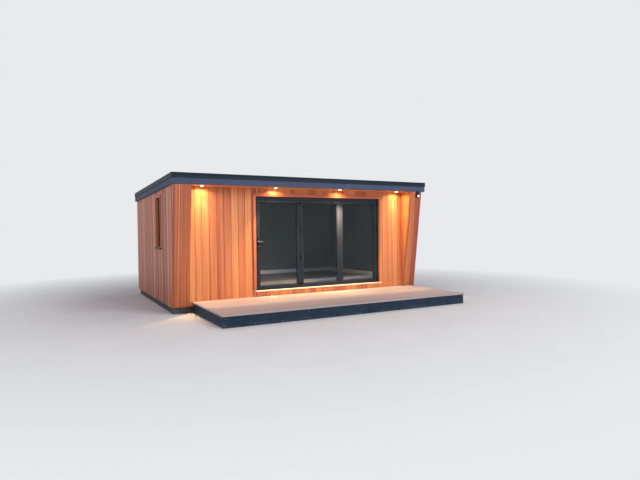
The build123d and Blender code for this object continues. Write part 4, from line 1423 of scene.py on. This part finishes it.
corner_margin, joint_margin, side_margin, edge_margin = 0.04, 0.03, 0.06, 0.035
front_lengths = [
    (skirt_low[0] + corner_margin, joint - joint_margin),
    (joint + joint_margin, skirt_high[0] - corner_margin),
]
side_y = np.linspace(skirt_low[1] + side_margin, notch_back - side_margin, 5)
fixings = [((x, skirt_low[1]), -Y, X) for ends in front_lengths for x in np.linspace(*ends, 6)]
for face_x, out in ((skirt_low[0], -X), (skirt_high[0], X)):
    fixings += [((face_x, y), out, Y) for y in side_y]
edge_screws = [
    turned(screw_profile, np.array([*place, z]), out, side, 12)
    for place, out, side in fixings
    for z in (edge_margin, skirt_top - edge_margin)
]
piece("deck_edge_screws", edge_screws, steel_finish, "deck_edge_board")


def rough_timber():
    """Sawn green-brown joists: fibre drawn out along Y, where every joist runs."""
    mix = Finish("joist_timber")
    fibre = mix.drawn(mix.place, (160, 5, 160), 4)
    blotch = mix.noise(mix.place, 4, 3)
    colour = mix.shaded(0.5, mix.tones(fibre, (104, 92, 62), (142, 128, 90)), blotch, 0.3, 0.7, 0.75, 1.1)
    return mix.coat(colour, mix.level(fibre, 0, 1, 0.7, 0.9), fibre, 0.0008)


refinish(rough_timber(), "deck_joists")


# Security light: a black cast housing on the right cheek with a motion sensor's dome on its upper half. The
# scene gives its cast finish, and adds the frosted lens in its lower half and the bezel round it.
cast_tones = ((18, 18, 20), (36, 36, 39))
cast_levels = (0, 1, 0.35, 0.55)
cast_finish = grained("black_casting", 800, 2, cast_tones, cast_levels, 0.0003, 0.6, Specular_IOR_Level=0.5)
refinish(cast_finish, "security_light")
light_low, light_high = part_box("security_light")
light_drop = 0.063
light_height = fascia_foot_level - light_drop
light_y = wing_foot_y - (light_height - wing_low[2]) * lean
light_foot = np.array([(light_low[0] + light_high[0]) / 2, light_y, light_height])
light_deep = 0.046
lens_seat = light_deep - 0.001
lens_levels = [
    (lens_seat, 0.0),
    (light_deep + 0.0016, 0.0),
    (light_deep + 0.0030, 0.0014),
    (light_deep + 0.0036, 0.0050),
]
lens_half, lens_low, lens_high, lens_round = 0.026, -0.048, -0.008, 0.007
lens = plate(lens_levels, lens_half, lens_low, lens_high, lens_round, light_foot, lean_up, lean_out)
cool_glow = frosted_lens("security_lens", 0.6, (232, 234, 236), (1.0, 0.95, 0.88, 1.0))
piece("security_lens", [lens], cool_glow, "downlight_lens", smooth=40)
bezel_levels = [(lens_seat, 0.0), (light_deep + 0.0010, 0.0), (light_deep + 0.0014, 0.0008)]
rim = 0.004
bezel_size = (lens_half + rim, lens_low - rim, lens_high + rim, 0.009)
bezel = plate(bezel_levels, *bezel_size, light_foot, lean_up, lean_out)
piece("security_bezel", [bezel], cast_finish, "security_black", smooth=40)


# Stage, lights and camera: a plain pale floor and background, a large soft lamp ahead and above, and one
# from the left. Three warm lamps are under each downlight, and hidden ones light the boards, the leaves and
# the inner floor as the deck and the glass would. The camera is ahead of the left corner, at eye height.
backdrop_colour = tone(232, 234, 237)


def plain_floor():
    """A pale matt floor with a faint mottle, so that it keeps the building's shadow. From 3.8 m to 9 m from
    its middle it fades to the background's own colour, so that no horizon shows."""
    fade_start, fade_end = 3.8, 9.0
    mix = Finish("studio_floor", Specular_IOR_Level=0.0, Emission_Color=backdrop_colour)
    mottle = mix.noise(mix.place, 1.3, 3)
    far = mix.level(mix.length(mix.place), fade_start, fade_end)
    mix.feed(mix.shader, {"Emission Strength": far})
    colour = mix.mix(far, mix.tones(mottle, (208, 209, 211), (214, 215, 216)), tone(0, 0, 0))
    return mix.coat(colour, mix.level(mottle, 0, 1, 0.9, 0.95))


floor_radius = 90.0
floor_corners = 96
floor_level = -0.0005
floor_angles = np.linspace(0, 2 * math.pi, floor_corners, endpoint=False)
floor_round = [floor_radius * np.cos(floor_angles), floor_radius * np.sin(floor_angles)]
floor_points = np.stack([*floor_round, np.full(floor_corners, floor_level)], axis=1)
floor_mesh = bpy.data.meshes.new("floor")
floor_mesh.from_pydata(floor_points.tolist(), [], [list(range(floor_corners))])
floor_mesh.materials.append(plain_floor())
floor = placed("floor", floor_mesh)

world = bpy.data.worlds.new("studio")
bpy.context.scene.world = world
world.use_nodes = True
world_nodes = world.node_tree.nodes
world_links = world.node_tree.links
lighting = world_nodes["Background"]
lighting.inputs["Color"].default_value = (0.95, 0.94, 1.0, 1.0)
lighting.inputs["Strength"].default_value = 0.5
backdrop = world_nodes.new("ShaderNodeBackground")
backdrop.inputs["Color"].default_value = backdrop_colour
backdrop.inputs["Strength"].default_value = 1.0
ray = world_nodes.new("ShaderNodeLightPath")
seen = ray.outputs["Is Camera Ray"]
for kind in ("Is Glossy Ray", "Is Transmission Ray"):
    either = world_nodes.new("ShaderNodeMath")
    either.operation = "MAXIMUM"
    world_links.new(seen, either.inputs[0])
    world_links.new(ray.outputs[kind], either.inputs[1])
    seen = either.outputs[0]
choice = world_nodes.new("ShaderNodeMixShader")
world_links.new(seen, choice.inputs["Fac"])
world_links.new(lighting.outputs[0], choice.inputs[1])
world_links.new(backdrop.outputs[0], choice.inputs[2])
world_links.new(choice.outputs[0], world_nodes["World Output"].inputs["Surface"])


def lamp(name, place, aim, size, power, colour, shape="SQUARE", spread=180, narrow=None, hidden=False):
    """A soft lamp at a place, turned to its aim, whose light fades out at half its spread in degrees. A long
    lamp has a narrow side, and a hidden one isn't seen by the camera, in gloss or through glass."""
    light = bpy.data.lights.new(name, "AREA")
    light.shape = shape
    light.size = size
    if narrow is not None:
        light.size_y = narrow
    light.energy = power
    light.color = colour
    light.spread = math.radians(spread)
    holder = placed(name, light)
    holder.location = place
    holder.rotation_euler = (Vector(aim) - Vector(place)).to_track_quat("-Z", "Y").to_euler()
    if hidden:
        holder.visible_camera = False
        holder.visible_glossy = False
        holder.visible_transmission = False


lamp("key", (4.5, -15.0, 8.5), (0.3, -1.8, 1.0), 9.0, 1400, (1.0, 0.97, 0.97))
lamp("fill", (-13.0, -5.0, 6.5), (-2.7, 0.0, 1.4), 8.0, 230, (0.95, 0.86, 1.0))
downlight_colour = (1.0, 0.65, 0.28)
lens_clearance = 0.010
for centre in centres:
    under_lens = centre + soffit_out * lens_clearance
    for kind, power, spread in (("spill", 4.8, 155), ("beam", 4.0, 72), ("core", 1.2, 36)):
        name = f"{kind}_{centre[0]:.1f}"
        lamp(name, under_lens, under_lens + soffit_out, 0.05, power, downlight_colour, "DISK", spread)
wash_place = (0.0, front_face - 1.1, deck_high[2] + 0.06)
wash_aim = (0.0, front_face, 1.7)
lamp("porch_wash", wash_place, wash_aim, 4.6, 25.0, (1.0, 0.98, 0.52), "RECTANGLE", narrow=0.1, hidden=True)
glow_top = door_high[2] - 0.06
for x, power in zip(downlights_x[1:3], (22.0, 42.0)):
    glow_place = (x, leaf_face - 0.30, glow_top)
    glow_aim = (x, leaf_face + 0.12, glow_top - 0.80)
    lamp(f"leaf_glow_{x:.1f}", glow_place, glow_aim, 0.06, power, (1.0, 0.52, 0.26), "DISK", 92, hidden=True)
strip_place = np.array([0.90, leaf_face + 1.25, door_high[2] - 0.1])
strip_aim = strip_place - Z
strip_colour = (1.0, 0.94, 0.92)
lamp("floor_strip", strip_place, strip_aim, 3.1, 9.0, strip_colour, "RECTANGLE", 32, narrow=0.1, hidden=True)

camera_data = bpy.data.cameras.new("photograph")
camera_data.sensor_width = 36.0
camera_data.lens = 28.21
camera = placed("photograph", camera_data)
yaw, pitch, roll = (math.radians(angle) for angle in (-28.4194, 90 - 1.0255, -0.7265))
turn = Matrix.Rotation(yaw, 4, "Z") @ Matrix.Rotation(pitch, 4, "X") @ Matrix.Rotation(roll, 4, "Z")
camera.matrix_world = Matrix.Translation((-4.597, -10.910, 1.456)) @ turn
bpy.context.scene.camera = camera
bpy.context.scene.view_settings.view_transform = "Standard"
